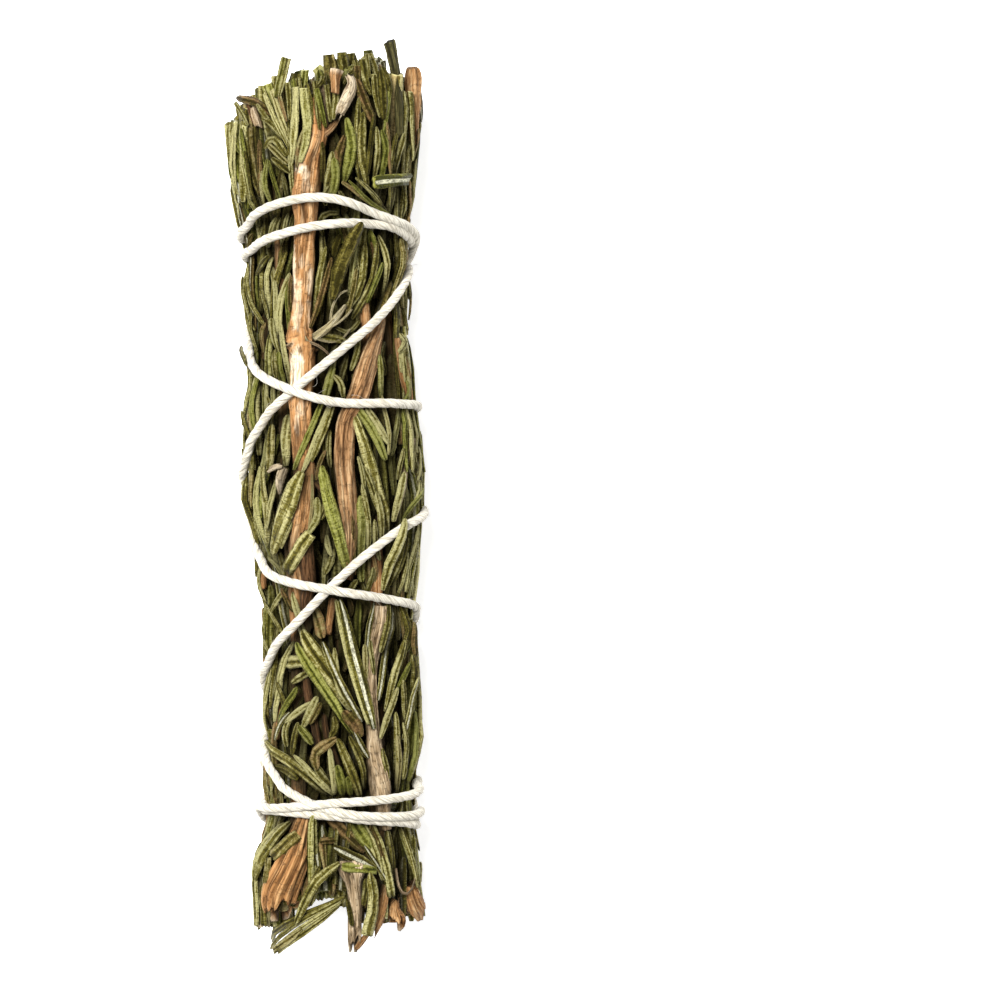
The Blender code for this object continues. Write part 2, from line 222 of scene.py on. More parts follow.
string = {
    "step": 0.4, "diameter": 1.28, "seat": -1.15, "sideSeat": -0.55, "overlap": 0.85, "rise": 0.42, "lay": 5.2,
    "turnAngles": (225, 180, 135, 90, 45, 0, -60),
    "turns": [  # y where each turn passes each angle
        (-41.8, -43.9, -43.5, -44.0, -45.0, -45.4, -36.0),
        (-31.0, -25.7, -20.5, -12.1, -4.8, -2.3, -0.5),
        (0.9, 2.6, 10.1, 17.9, 25.4, 31.7, 32.8),
        (33.4, 33.7, 34.9, 37.0, 37.4, 35.8, 36.1),
        (36.2, 36.3, 38.7, 40.7, 38.4, 36.4, 30.0),
        (25.5, 22.6, 17.1, 13.1, 12.8, 12.6, 10.5),
        (1.8, -5.2, -10.7, -12.9, -14.4, -16.0, -21.5),
        (-29.6, -34.6, -40.1, -43.3, -44.2, -44.2, -46.6),
        (-47.6, -43.8, -43.1, -42.1, -41.5, -40.5, -39.8)],
    "hitchAngle": 222, "hitchLoop": 1.45, "hitchPitch": 1.9, "hitchSeat": -0.35, "approachY": -39.2,
}


def angleToS(angle):
    turned = (np.asarray(angle, float) + 90) % 360 - 90
    whole = (np.asarray(angle, float) - turned) / 360
    return np.interp(turned, np.degrees(ringAngle), ringS) - whole * girth


def easedCurve(at, places, values):
    after = max(1, min(len(places) - 1, int(np.searchsorted(places, at))))
    a, b = after - 1, after

    def slope(i):
        low, high = max(0, i - 1), min(len(places) - 1, i + 1)
        return (values[high] - values[low]) / (places[high] - places[low])

    span = places[b] - places[a]
    t = (at - places[a]) / span
    return (values[a] * (1 + 2 * t) * (1 - t) ** 2 + slope(a) * span * t * (1 - t) ** 2
            + values[b] * t * t * (3 - 2 * t) + slope(b) * span * t * t * (t - 1))


def stringPath():
    angles, heights = [string["hitchAngle"] + 20], [string["turns"][0][0] + 0.3]
    for turn, row in enumerate(string["turns"]):
        angles += [a - 360 * turn for a in string["turnAngles"]]
        heights += row
    angles.append(string["hitchAngle"] + 9 - 360 * len(string["turns"]))
    heights.append(string["approachY"])
    along = [float(angleToS(a)) for a in angles]
    s = along[0]
    points = []
    while s < along[-1]:
        y = easedCurve(s, along, heights)
        climb = (easedCurve(s + 0.1, along, heights) - y) / 0.1
        points.append((s, y))
        s += string["step"] / math.hypot(1, climb)
    return np.array(points)


def stringHeights(points, base):  # lies on what is under it, and each later strand on the earlier ones
    across = np.abs(points[:, None, 0] - points[None, :, 0]) % girth
    across = np.minimum(across, girth - across)
    apart = np.hypot(across, points[:, None, 1] - points[None, :, 1])
    order = np.arange(len(points))
    gap = order[:, None] - order[None, :]
    stepUp = np.sqrt(np.clip(string["overlap"] ** 2 - (apart * 0.86) ** 2, 0, None))
    close = (gap > 20) & (stepUp > 0)
    ramp = np.clip(np.abs(gap) * string["step"] - 0.9, 0, None) * string["rise"]
    hitchS = float(angleToS(string["hitchAngle"]))
    base = base + np.where(np.abs(points[:, 0] - hitchS) < string["hitchPitch"] * 0.7, string["hitchLoop"], 0)
    out = (base[None, :] - ramp).max(axis=1)
    for _ in range(4):
        needed = np.maximum(out, np.where(close, out[None, :] + stepUp, -np.inf).max(axis=1))
        out = (needed[None, :] - ramp).max(axis=1)
    return np.maximum(out, np.convolve(np.pad(out, 3, mode="edge"), np.ones(7) / 7, mode="valid"))


def withHitch(points, out):
    route = np.column_stack([points, out])
    hitchS = float(angleToS(string["hitchAngle"]))
    firstY = float(np.interp(hitchS, points[:80, 0], points[:80, 1]))
    turned = np.linspace(0, 1, 25)
    loop = np.column_stack([
        hitchS + girth * len(string["turns"]) + (turned - 0.5) * string["hitchPitch"],
        firstY + string["hitchLoop"] * np.cos(2 * math.pi * turned),
        string["hitchSeat"] + string["hitchLoop"] * (1 + np.sin(2 * math.pi * turned))])
    tail = loop[-1] + np.array([[0.35, 0.5, 0.12], [0.75, 1.1, 0.2], [1.2, 1.7, 0.22], [1.7, 2.3, 0.2],
        [2.2, 2.9, 0.15]])
    return np.vstack([route, loop, tail])


stringPoints = stringPath()
print("string route", round(len(stringPoints) * string["step"]), "mm")

stringCells = {}
for pointS, pointY in stringPoints:
    home = (onceRound(pointS), pointY)
    stringCells.setdefault((int(home[0] // 4), int(pointY // 4)), []).append(home)


def stringDistance(s, y):
    s = onceRound(s)
    best = 9.0  # nothing nearer than this counts
    for i in (-1, 0, 1):
        for j in (-1, 0, 1):
            for otherS, otherY in stringCells.get((int(s // 4) + i, int(y // 4) + j), ()):
                best = min(best, math.hypot(otherS - s, otherY - y))
    return best


squeeze = {
    "depth": [  # y, how far the string sinks in there
        (-50, 0.95), (-47, 1.4), (-40, 1.4), (-36, 0.95), (31, 0.95), (34, 1.3), (40, 1.3), (43, 0.95)],
    "reach": 2.4, "core": 6.0, "sides": 0.4,
}


def squeezeAt(y):
    return fromTable(y, squeeze["depth"])


def pressedOut(s, y, out):  # the string presses what lies under it inwards
    distance = stringDistance(s, y)
    if distance > 8:
        return out
    share = min(1.0, max(0.0, (out + squeeze["core"]) / squeeze["core"])) * (1 - squeeze["sides"] * float(flank(s)))
    return out - squeezeAt(y) * share * math.exp(-(distance / squeeze["reach"]) ** 2)


# A height map of what already lies in the bundle, so that each leaf is laid on the ones before it

mapCells = (288, 281)  # round the bundle, and along it
cellS, cellY = girth / mapCells[0], 0.5
mapY = -70.0
farDown = -9.0  # below all that lies in the map
heights = np.full(mapCells, -4.4)
ceiling = np.full(mapCells, -1.0)
hardTops = np.full(mapCells, farDown)  # of the twigs alone


def cells(s, y):
    return (np.rint((s + girth / 2) / cellS).astype(int) % mapCells[0],
            np.clip(np.rint((y - mapY) / cellY).astype(int), 0, mapCells[1] - 1))


def restLine(s, y, width, slope, tops=None):  # the lowest stiff line that clears the map along these points
    turnS, turnY = np.gradient(s, axis=-1), np.gradient(y, axis=-1)
    size = np.hypot(turnS, turnY) + 1e-9
    offsets = np.linspace(-0.42, 0.42, 5) * width
    acrossS = s[..., None] + offsets * (turnY / size)[..., None]
    acrossY = y[..., None] - offsets * (turnS / size)[..., None]
    under = (heights if tops is None else tops)[cells(acrossS, acrossY)].max(-1)
    room = ceiling[cells(acrossS, acrossY)].min(-1)
    steps = np.concatenate([np.zeros(s.shape[:-1] + (1,)), np.cumsum(size[..., 1:], -1)], -1)
    apart = np.abs(steps[..., :, None] - steps[..., None, :])
    line = (under[..., None, :] - slope * apart).max(-1)
    return line, under, room


def coverMap(s, y, base, width, thickness, shield=False, into=None):
    fine = np.linspace(0, len(s) - 1, 6 * len(s))
    order = np.arange(len(s))
    fs, fy, fb = np.interp(fine, order, s), np.interp(fine, order, y), np.interp(fine, order, base)
    turnS, turnY = np.gradient(fs), np.gradient(fy)
    size = np.hypot(turnS, turnY) + 1e-9
    across = np.linspace(-0.5, 0.5, 9)
    width, thickness = (np.interp(fine, order, v * np.ones(len(s)))[:, None] for v in (width, thickness))
    spotS = fs[:, None] + across * width * (turnY / size)[:, None]
    spotY = fy[:, None] - across * width * (turnS / size)[:, None]
    tops = fb[:, None] + thickness * (1 - 1.6 * across ** 2)
    at = cells(spotS, spotY)
    np.maximum.at(heights if into is None else into, at, tops)
    if shield:
        ceiling[at] = farDown  # no later leaf goes over it


# One leaf, modelled once in millimetres: 10 long and 2 wide, then cut for its two shorter forms

leafForm = {
    "section": [  # across and up, the sides rolled under
        (0, 0.2), (0.48, 0.48), (1.0, 0.02), (0.76, -0.44), (0, -0.2), (-0.76, -0.44), (-1.0, 0.02), (-0.48, 0.48)],
    "rings": [  # how far up the leaf, and its width and thickness there
        (0.0, 0.42, 0.6), (0.5, 0.6, 0.8), (1.7, 0.86, 0.95), (3.6, 1.0, 1.0), (5.6, 1.0, 1.0), (7.6, 0.92, 0.98),
        (9.1, 0.74, 0.85), (9.8, 0.42, 0.55), (10.0, 0.16, 0.25)],
}


def makeLeafForm():
    bpy.ops.mesh.primitive_circle_add(vertices=8, radius=1, fill_type="NGON", location=(0, 0, 0))
    leaf = bpy.context.object
    leaf.name = "leafForm"
    bpy.ops.object.mode_set(mode="EDIT")
    edit = bmesh.from_edit_mesh(leaf.data)
    ordered = sorted(edit.verts, key=lambda v: -math.atan2(v.co.x, v.co.y) % (2 * math.pi))
    first = leafForm["rings"][0]
    for vert, (across, up) in zip(ordered, leafForm["section"]):
        vert.co = (-across * first[1], up * first[2], 0)
    bmesh.update_edit_mesh(leaf.data)
    bpy.ops.mesh.select_all(action="SELECT")
    before = first
    for ring in leafForm["rings"][1:]:
        bpy.ops.mesh.extrude_region_move(TRANSFORM_OT_translate={"value": (0, 0, ring[0] - before[0])})
        bpy.ops.transform.resize(value=(ring[1] / before[1], ring[2] / before[2], 1), center_override=(0, 0, ring[0]))
        before = ring
    bpy.ops.mesh.select_all(action="SELECT")
    bpy.ops.mesh.normals_make_consistent(inside=False)
    bpy.ops.object.mode_set(mode="OBJECT")
    return leaf


def cutForm(leaf, height, keepLower, name):  # a leaf trimmed straight across, with a flat end
    bpy.ops.object.select_all(action="DESELECT")
    copy = leaf.copy()
    copy.data = leaf.data.copy()
    copy.name = name
    bpy.context.scene.collection.objects.link(copy)
    copy.select_set(True)
    bpy.context.view_layer.objects.active = copy
    bpy.ops.object.mode_set(mode="EDIT")
    bpy.ops.mesh.select_all(action="SELECT")
    bpy.ops.mesh.bisect(plane_co=(0, 0, height), plane_no=(0, 0.25, 1), use_fill=True, clear_outer=keepLower,
        clear_inner=not keepLower)
    bpy.ops.object.mode_set(mode="OBJECT")
    return copy


def formData(leaf):
    points = pointsOf(leaf.data)
    low, high = points[:, 2].min(), points[:, 2].max()
    faces = [tuple(p.vertices) for p in leaf.data.polygons]
    angle = np.arctan2(-points[:, 0], -points[:, 1]) / (2 * math.pi)  # 0 under the leaf, half on top
    shares = (points[:, 2] - low) / (high - low)
    corners = []
    for face in faces:
        around = angle[list(face)] % 1
        if len(face) > 4:
            around = np.full(len(face), 0.25)
        elif around.max() - around.min() > 0.5:
            around = np.where(around < 0.5, around + 1, around)
        corners += [(u, points[i, 2] / 10) for u, i in zip(around, face)]
    data = {"across": points[:, 0], "up": points[:, 1], "share": shares, "faces": faces, "corners": np.array(corners)}
    bpy.data.objects.remove(leaf, do_unlink=True)
    return data


wholeLeaf = makeLeafForm()
tipCutLeaf = cutForm(wholeLeaf, 6.6, True, "tipCutLeaf")
baseCutLeaf = cutForm(wholeLeaf, 3.0, False, "baseCutLeaf")
bothCutLeaf = cutForm(tipCutLeaf, 3.0, False, "bothCutLeaf")
leafForms = {"whole": formData(wholeLeaf), "tipCut": formData(tipCutLeaf), "baseCut": formData(baseCutLeaf),
    "bothCut": formData(bothCutLeaf)}
print("leaf forms", {k: len(v["faces"]) for k, v in leafForms.items()})

leaves = []
leafSteps = 9  # places along a leaf's middle line
halfway = leafSteps // 2
draw = random.Random(11)


def cutAt(x, name):  # y of the trimmed end at this x
    return fromTable(x, skin[name])


def topX(s, y):
    return float(onSkin(np.array([s]), np.array([y]), np.array([0.0]))[0][0, 0])


# y, how much lighter the leaves are painted there, as painted light along the bundle
paintedLightAlong = [(-64, -0.07), (-35, -0.02), (-15, 0.09), (-5, 0.14), (10, 0.16), (20, 0.07), (28, 0.0), (60, -0.03)]


def addLeaf(s, y, base, width, thickness, roll=0.0, form="whole", flip=False, tint=None, press=True):
    tint = list(tint or (draw.gauss(0.48, 0.2), draw.random(), draw.random(), draw.random()))
    # painted light: each leaf's tone is raised by where it lies along the bundle, and towards the left, where the light
    # comes from
    tint[0] += fromTable(y[len(y) // 2], paintedLightAlong) - 0.001 * float(s[len(s) // 2])
    leaves.append({"s": s, "y": y, "base": base, "width": width, "thickness": thickness, "roll": roll,
                   "form": form, "flip": flip, "press": press, "twist": draw.gauss(0, 16),
                   "pinch": draw.uniform(0, 6.28),
                   "tint": tint})


# Layers of leaves, each laid where it sinks in deepest

layers = {"length": (15.0, 3.4), "shortest": 5, "width": (1.55, 0.3), "slope": 0.13, "tries": 48, "underside": 0.22,
    "backwards": 0.25}


def layFiller(top, count, patience, sides=None):
    columns = (np.arange(mapCells[0]) + 0.5) * cellS - girth / 2
    allowed = top if sides is None else np.where(flank(columns) > 0.3, sides, top)[:, None]
    ceiling[:] = np.where(ceiling > farDown, allowed, ceiling)
    misses = 0
    laid = 0
    while laid < count and misses < patience:
        tries = layers["tries"]
        length = min(22, max(8, draw.gauss(*layers["length"])))
        width = min(2.3, max(1.05, draw.gauss(*layers["width"])))
        thickness = width * draw.uniform(0.46, 0.7)
        s0 = np.array([draw.uniform(-girth / 2, girth / 2) for _ in range(tries)])
        y0 = np.array([draw.uniform(-64, 64) for _ in range(tries)])
        lean = np.radians([draw.gauss(0, 6) if draw.random() < 0.65 else draw.gauss(0, 19) for _ in range(tries)])
        bend = np.array([draw.gauss(0, 0.5) for _ in range(tries)])
        wave = np.array([draw.gauss(0, 0.1) for _ in range(tries)])
        t = np.linspace(-0.5, 0.5, leafSteps)
        s = s0[:, None] + length * t * np.sin(lean)[:, None] + bend[:, None] * (1 - 4 * t ** 2)
        s += wave[:, None] * np.sin(9 * t + 3 * lean[:, None])
        y = y0[:, None] + length * t * np.cos(lean)[:, None]
        line, under, room = restLine(s, y, width, layers["slope"])
        fits = (line + thickness <= room + 0.12).all(-1)
        score = line.mean(-1) + 1.3 * (line - under).mean(-1) + np.where(fits, 0, 50)
        best = int(score.argmin())
        if score[best] > 20:
            misses += 1
            continue
        s, y, line = s[best], y[best], line[best]
        x = topX(s[halfway], y[halfway])
        high, low = cutAt(x, "topCut") + draw.gauss(0, 0.6), cutAt(x, "stemCut") + draw.gauss(0, 0.5)
        form, first, last = "whole", 0, 1
        if y[-1] > high:
            form, last = "tipCut", (high - y[0]) / (y[-1] - y[0])
        elif y[0] < low:
            form, first = "baseCut", 1 - (y[-1] - low) / (y[-1] - y[0])
        if (last - first) * length < layers["shortest"]:
            continue
        kept = np.linspace(first, last, leafSteps)
        s, y, line = (np.interp(kept, np.linspace(0, 1, leafSteps), v) for v in (s, y, line))
        if draw.random() < layers["backwards"] and form == "whole":
            s, y, line = s[::-1], y[::-1], line[::-1]
        roll = draw.gauss(0, 26)
        flip = draw.random() < layers["underside"] * (0.4 if y[halfway] > 0 else 1)
        addLeaf(s, y, line, width, thickness, roll, form, flip)
        coverMap(s, y, line, width, thickness)
        laid += 1
        misses = 0
    print("filler to", top, "laid", laid, "leaves")


# Twigs: tubes with ridged bark

twigs = []
twigLaying = {
    "deep": -1.4, "under": -0.75, "slope": 0.16, "flat": ("flake", "chip_a", "chip_b", "tan_strip", "foot_curl",
        "tip_strip", "torn_twig"),
    "depths": {  # y, how far out of the skin the twig's middle lies
        "main_twig": [(-24, -3.2), (-14, -2.0), (-8, -1.4), (-4, -1.35), (42, -1.2), (46, -1.0), (50, -0.9),
            (58, -1.1)],
        "slanting_twig": [(-12, -2.2), (-6, -1.3), (17, -1.25), (22, -2.2), (28, -3.2)],
        "low_twig": [(-46, -1.3), (-41, -0.7), (-36, -0.4), (-30, -0.2), (-24, -0.4), (-14, -0.9)],
        "corner_twig": [(48, -1.6), (54, -0.9), (60, -0.8)], "tall_twig": [(48, -1.0), (54, -0.6), (64, -0.6)],
        "split_twig": [(-60, -1.5), (-50, -1.2), (-42, -1.6)], "pale_twig": [(-64, -1.0), (-50, -1.3)],
        "foot_twig_a": [(-60, -1.2), (-53, -1.0)], "foot_twig_b": [(-60, -1.4)], "foot_twig_c": [(-60, -1.5)]},
}


def lineThrough(points, step=0.8, depth=None):  # points (x, y) on the upper side to a smooth line of (s, y)
    points = np.array(points, float)
    aim = points[:, 0].copy()
    for _ in range(4 if depth is not None else 0):  # what lies deep on the flank still shows at its own x
        aim += points[:, 0] - onSkin(topS(aim, points[:, 1]), points[:, 1], depth)[0][:, 0]
    s = [float(topS(x, y)) for x, y in zip(aim, points[:, 1])]
    gaps = np.hypot(np.diff(points[:, 0]), np.diff(points[:, 1]))
    at = list(np.concatenate([[0], np.cumsum(gaps)]))
    fine = np.linspace(0, at[-1], max(9, int(at[-1] / step)))
    rows = [s, list(points[:, 1])] + [list(points[:, k]) for k in range(2, points.shape[1])]
    return [np.array([easedCurve(f, at, row) for f in fine]) for row in rows]


def deepOut(name, y):
    return fromTable(y, twigLaying["depths"].get(name, [(0, twigLaying["deep"])]))


def layTwig(name, look, how, points):
    flat = name in twigLaying["flat"]
    if how == "deep":
        s, y, radius = lineThrough(points, depth=deepOut(name, np.array([p[1] for p in points])))
        out = deepOut(name, y)
    else:
        s, y, radius = lineThrough(points)
        line, _, _ = restLine(s, y, float(2 * radius.mean()), twigLaying["slope"])
        eased = np.where(line > -0.5, -0.5 + 0.8 * (1 - np.exp(-(line + 0.5) / 0.8)), line)
        out = eased + radius * 0.9 * (0.5 if flat else 1)
        if how == "under":
            out = np.minimum(out, twigLaying["under"] + 0.3 * (radius - 0.5))
    twigs.append({"name": name, "look": look, "s": s, "y": y, "out": out, "radius": radius,
                  "press": how != "deep", "flat": flat})
    coverMap(s, y, out - radius, 2 * radius, 2 * radius, shield=True)
    if how != "over":
        coverMap(s, y, out - radius, 2 * radius, 2 * radius, into=hardTops)


twigPlan = [  # name, look, how it is laid, (x, y, radius) from the stem end up
    ("main_twig", "bark", "deep", [(-3.7, -26.7, 0.61), (-3.7, -19.8, 0.82), (-3.8, -15, 1.02), (-4.2, -10.8, 1.16),
        (-4.5, -7.1, 1.23), (-3.9, -3.5, 1.5), (-3.6, -0.5, 1.43), (-3.7, 3.6, 1.23), (-3.8, 7.7, 1.43),
        (-3.9, 11.6, 1.57), (-4, 14.3, 1.64), (-3.8, 17.1, 1.71), (-3.8, 19.6, 1.77), (-3.8, 20.7, 1.98),
        (-3.9, 21.8, 1.98), (-4, 23.5, 1.64), (-3.9, 26.5, 1.5), (-3.7, 29.5, 1.57), (-3.6, 32.5, 1.64),
        (-3.4, 35.2, 1.5), (-3.2, 38.4, 1.5), (-3.2, 40.6, 1.77), (-3, 43.2, 1.77), (-2.7, 45.6, 1.71),
        (-2.1, 47.2, 1.37), (-1.6, 48.8, 1.37), (-1.4, 50.5, 1.23), (-1.6, 52.4, 1.09), (-1.7, 54.3, 0.89)]),
    ("slanting_twig", "oldBark", "deep", [(2.5, -11.5, 0.75), (2.6, -7.1, 1.02), (2.6, -3.2, 1.23), (2.3, 0.9, 1.37),
        (2, 4.3, 1.37), (2.1, 7.7, 1.37), (2.4, 10.5, 1.3), (3.9, 13.8, 1.37), (4.9, 17.7, 1.37), (5.7, 20.8, 1.23),
        (6.5, 24.1, 0.96), (6.9, 27.2, 0.55)]),
    ("split_twig", "splitWood", "deep", [(-6.9, -58.8, 1.64), (-7.1, -56.6, 2.39), (-6.7, -54.3, 2.53),
        (-5.6, -51.5, 2.25), (-4.5, -48.7, 2.05), (-3.8, -45.7, 1.5), (-3.1, -42.7, 0.68)]),
    ("pale_twig", "paleBark", "deep", [(3.2, -62.8, 0.55), (3.4, -60.7, 0.96), (3.4, -58.2, 0.96), (3.5, -55.5, 0.96),
        (3.3, -53.3, 1.09), (3.2, -51.6, 1.91), (3.2, -50.3, 2.05)]),
    ("tall_twig", "greenTwig", "deep", [(9.5, 49.1, 0.48), (9.5, 52.1, 0.55), (9.3, 55.7, 0.61), (8.8, 59.3, 0.68),
        (8.1, 62.7, 0.82)]),
    ("corner_twig", "tornWood", "deep", [(11.2, 49, 0.48), (11.3, 52.1, 0.75), (11.3, 55.6, 1.09), (11.3, 58.2, 1.23),
        (11.2, 59.7, 0.82)]),
    ("low_twig", "paleBark", "deep", [(7.5, -46.1, 0.89), (6.9, -40.6, 1.43), (6.5, -38.1, 1.43), (6.1, -35.7, 1.16),
        (5.9, -32.9, 0.96), (5.7, -29.7, 0.89), (5.6, -26.7, 0.82), (5.7, -23.7, 0.75), (6.1, -20.6, 0.96),
        (6.7, -17.8, 0.96), (6.9, -15.1, 0.82)]),
    ("fork_twig", "oldBark", "under", [(-1.8, 48.3, 0.61), (-0.5, 49.4, 0.61), (0.6, 50.3, 0.48), (1.6, 51.6, 0.27)]),
    ("tan_strip", "paleBark", "under", [(-0.1, 49, 0.34), (-0.5, 52.7, 0.41), (-0.9, 56.2, 0.41)]),
    ("pink_shoot", "paleBark", "under", [(9.9, -3.5, 0.41), (10.1, -0.5, 0.48), (10.9, 3.7, 0.48), (11.4, 6.2, 0.41),
        (12.1, 8.1, 0.34)]),
    ("little_twig", "bark", "under", [(-0.6, -19.1, 0.61), (-0.1, -16.8, 0.55), (0.2, -14, 0.55)]),
    ("right_twig", "bark", "under", [(11.8, 13.2, 0.61), (10.8, 16.5, 0.75), (10.2, 19.6, 0.61), (9.7, 22.1, 0.41)]),
    ("left_twig", "bark", "under", [(-8.8, -33.9, 0.34), (-8.3, -31.1, 0.41), (-8.2, -28.6, 0.41)]),
    ("under_twig", "darkTwig", "under", [(-3.8, -19.8, 0.68), (-3.7, -15.1, 0.89), (-3.4, -11.8, 1.02),
        (-3.3, -8.2, 1.02), (-3.5, -4.6, 0.82)]),
    ("gap_twig_a", "darkTwig", "under", [(-1.6, -36.1, 0.34), (-2.1, -32.9, 0.55), (-2.8, -29.7, 0.55),
        (-3.4, -26.7, 0.55), (-3.8, -23.7, 0.41)]),
    ("gap_twig_c", "darkTwig", "under", [(1.7, -38.8, 0.34), (0.2, -35.2, 0.55), (-0.6, -33, 0.55),
        (-1.1, -29.7, 0.34)]),
    ("gap_twig_e", "darkTwig", "under", [(0.4, -0.5, 0.48), (-1.5, 1.7, 0.61), (-4, 3.6, 0.55)]),
    ("foot_twig_a", "tornWood", "deep", [(11.9, -59.2, 1.23), (11.3, -57.2, 1.5), (10.9, -55.5, 1.23),
        (10.8, -53.5, 0.82)]),
    ("foot_twig_b", "tornWood", "deep", [(8.7, -59.9, 1.09), (9, -58.9, 1.37), (8.7, -57.2, 0.75), (8.9, -55.2, 0.48)]),
    ("foot_twig_c", "tornWood", "deep", [(5.7, -60.8, 0.41), (6.6, -58.1, 0.82), (7.1, -55.6, 0.89),
        (7.4, -53.2, 0.61)]),
    ("top_twig_a", "paleBark", "under", [(-9.9, 50.2, 0.55), (-10.5, 52, 0.55), (-11.1, 53.6, 0.41)]),
    ("top_twig_b", "darkTwig", "under", [(-10.5, 50.8, 0.34), (-11.2, 52.5, 0.34), (-11.8, 54.1, 0.27)]),
    ("edge_twig", "bark", "under", [(-10.3, -13.1, 0.41), (-10.6, -11.7, 0.48), (-10.7, -10.3, 0.41)]),
    ("stub_twig", "bark", "over", [(1, 54.6, 0.55), (1, 56.5, 0.61), (1, 57.3, 0.82), (1.2, 58, 0.89)]),
    ("flake", "peeled", "over", [(1.2, 51, 0.41), (1.8, 52.8, 0.75), (2.8, 54.9, 0.89), (3.2, 56.4, 0.68),
        (2.5, 57.6, 0.41)]),
    ("side_shoot", "straw", "over", [(-2.6, 21.5, 0.55), (-1.6, 22.1, 0.48), (-0.8, 22.7, 0.55), (0, 23.4, 0.41),
        (0.8, 24.4, 0.48), (1.6, 25.4, 0.34), (2.3, 26.4, 0.27)]),
    ("fibre", "straw", "over", [(0.1, 24, 0.18), (0.4, 25.9, 0.16), (1.1, 27.4, 0.16), (1.9, 28.1, 0.15),
        (2.6, 28.3, 0.11)]),
    ("fibre_b", "straw", "over", [(-2.3, 21.9, 0.2), (-1.1, 21.4, 0.18), (0.6, 21.2, 0.16), (2.1, 21.9, 0.15),
        (3, 23.1, 0.11)]),
    ("fibre_c", "straw", "over", [(-0.5, 22.9, 0.2), (1, 23.7, 0.16), (2.3, 24.8, 0.15), (3.1, 25.8, 0.11)]),
    ("fibre_d", "paleBark", "over", [(0.2, 19.2, 0.12), (-0.7, 20.1, 0.16), (-1.8, 20.8, 0.2), (-2.9, 21.2, 0.2)]),
    ("curl_a", "straw", "over", [(-2.9, 21.1, 0.15), (-3.4, 21.9, 0.18), (-4.6, 22.2, 0.18), (-5.5, 21.5, 0.2)]),
    ("curl_b", "paleBark", "over", [(-3, 19.7, 0.15), (-3.7, 20.5, 0.18), (-4.7, 21.1, 0.2), (-5.8, 20.7, 0.2)]),
    ("chip_a", "peeled", "over", [(-7.5, 0.3, 0.34), (-7.3, 1.7, 0.61), (-6.8, 3.1, 0.75), (-6.3, 4, 0.61)]),
    ("chip_b", "peeled", "over", [(-8.6, 3.5, 0.34), (-7.4, 4, 0.41), (-6.3, 4.2, 0.34)]),
    ("torn_twig", "bark", "under", [(-5.6, -8.2, 0.41), (-4.8, -6.3, 0.89), (-4.1, -4.1, 1.23), (-3.6, -1.6, 1.37),
        (-3.3, 0.9, 1.3), (-3, 3.1, 1.09), (-2.9, 5.5, 0.68)]),
    ("left_foot", "greenStraw", "under", [(-10.5, -60, 0.61), (-10.5, -56.9, 0.61), (-10.6, -54.1, 0.55),
        (-10.8, -51, 0.48)]),
    ("left_foot_b", "greenStraw", "under", [(-9.7, -59.8, 0.61), (-9.4, -57.4, 0.55), (-9.3, -54.6, 0.41)]),
    ("tip_strip", "tornWood", "under", [(3.7, -62.4, 0.27), (4.4, -61.4, 0.41), (5.5, -60, 0.34), (6.3, -58.1, 0.2)]),
    ("foot_curl", "paleBark", "over", [(11.6, -52.8, 0.16), (11, -54.8, 0.2), (10.2, -55.1, 0.2), (9.5, -53.6, 0.23),
        (9.4, -51.4, 0.2)]),
]


def layTwigs(how):
    for name, look, way, points in twigPlan:
        if way == how:
            layTwig(name, look, how, points)
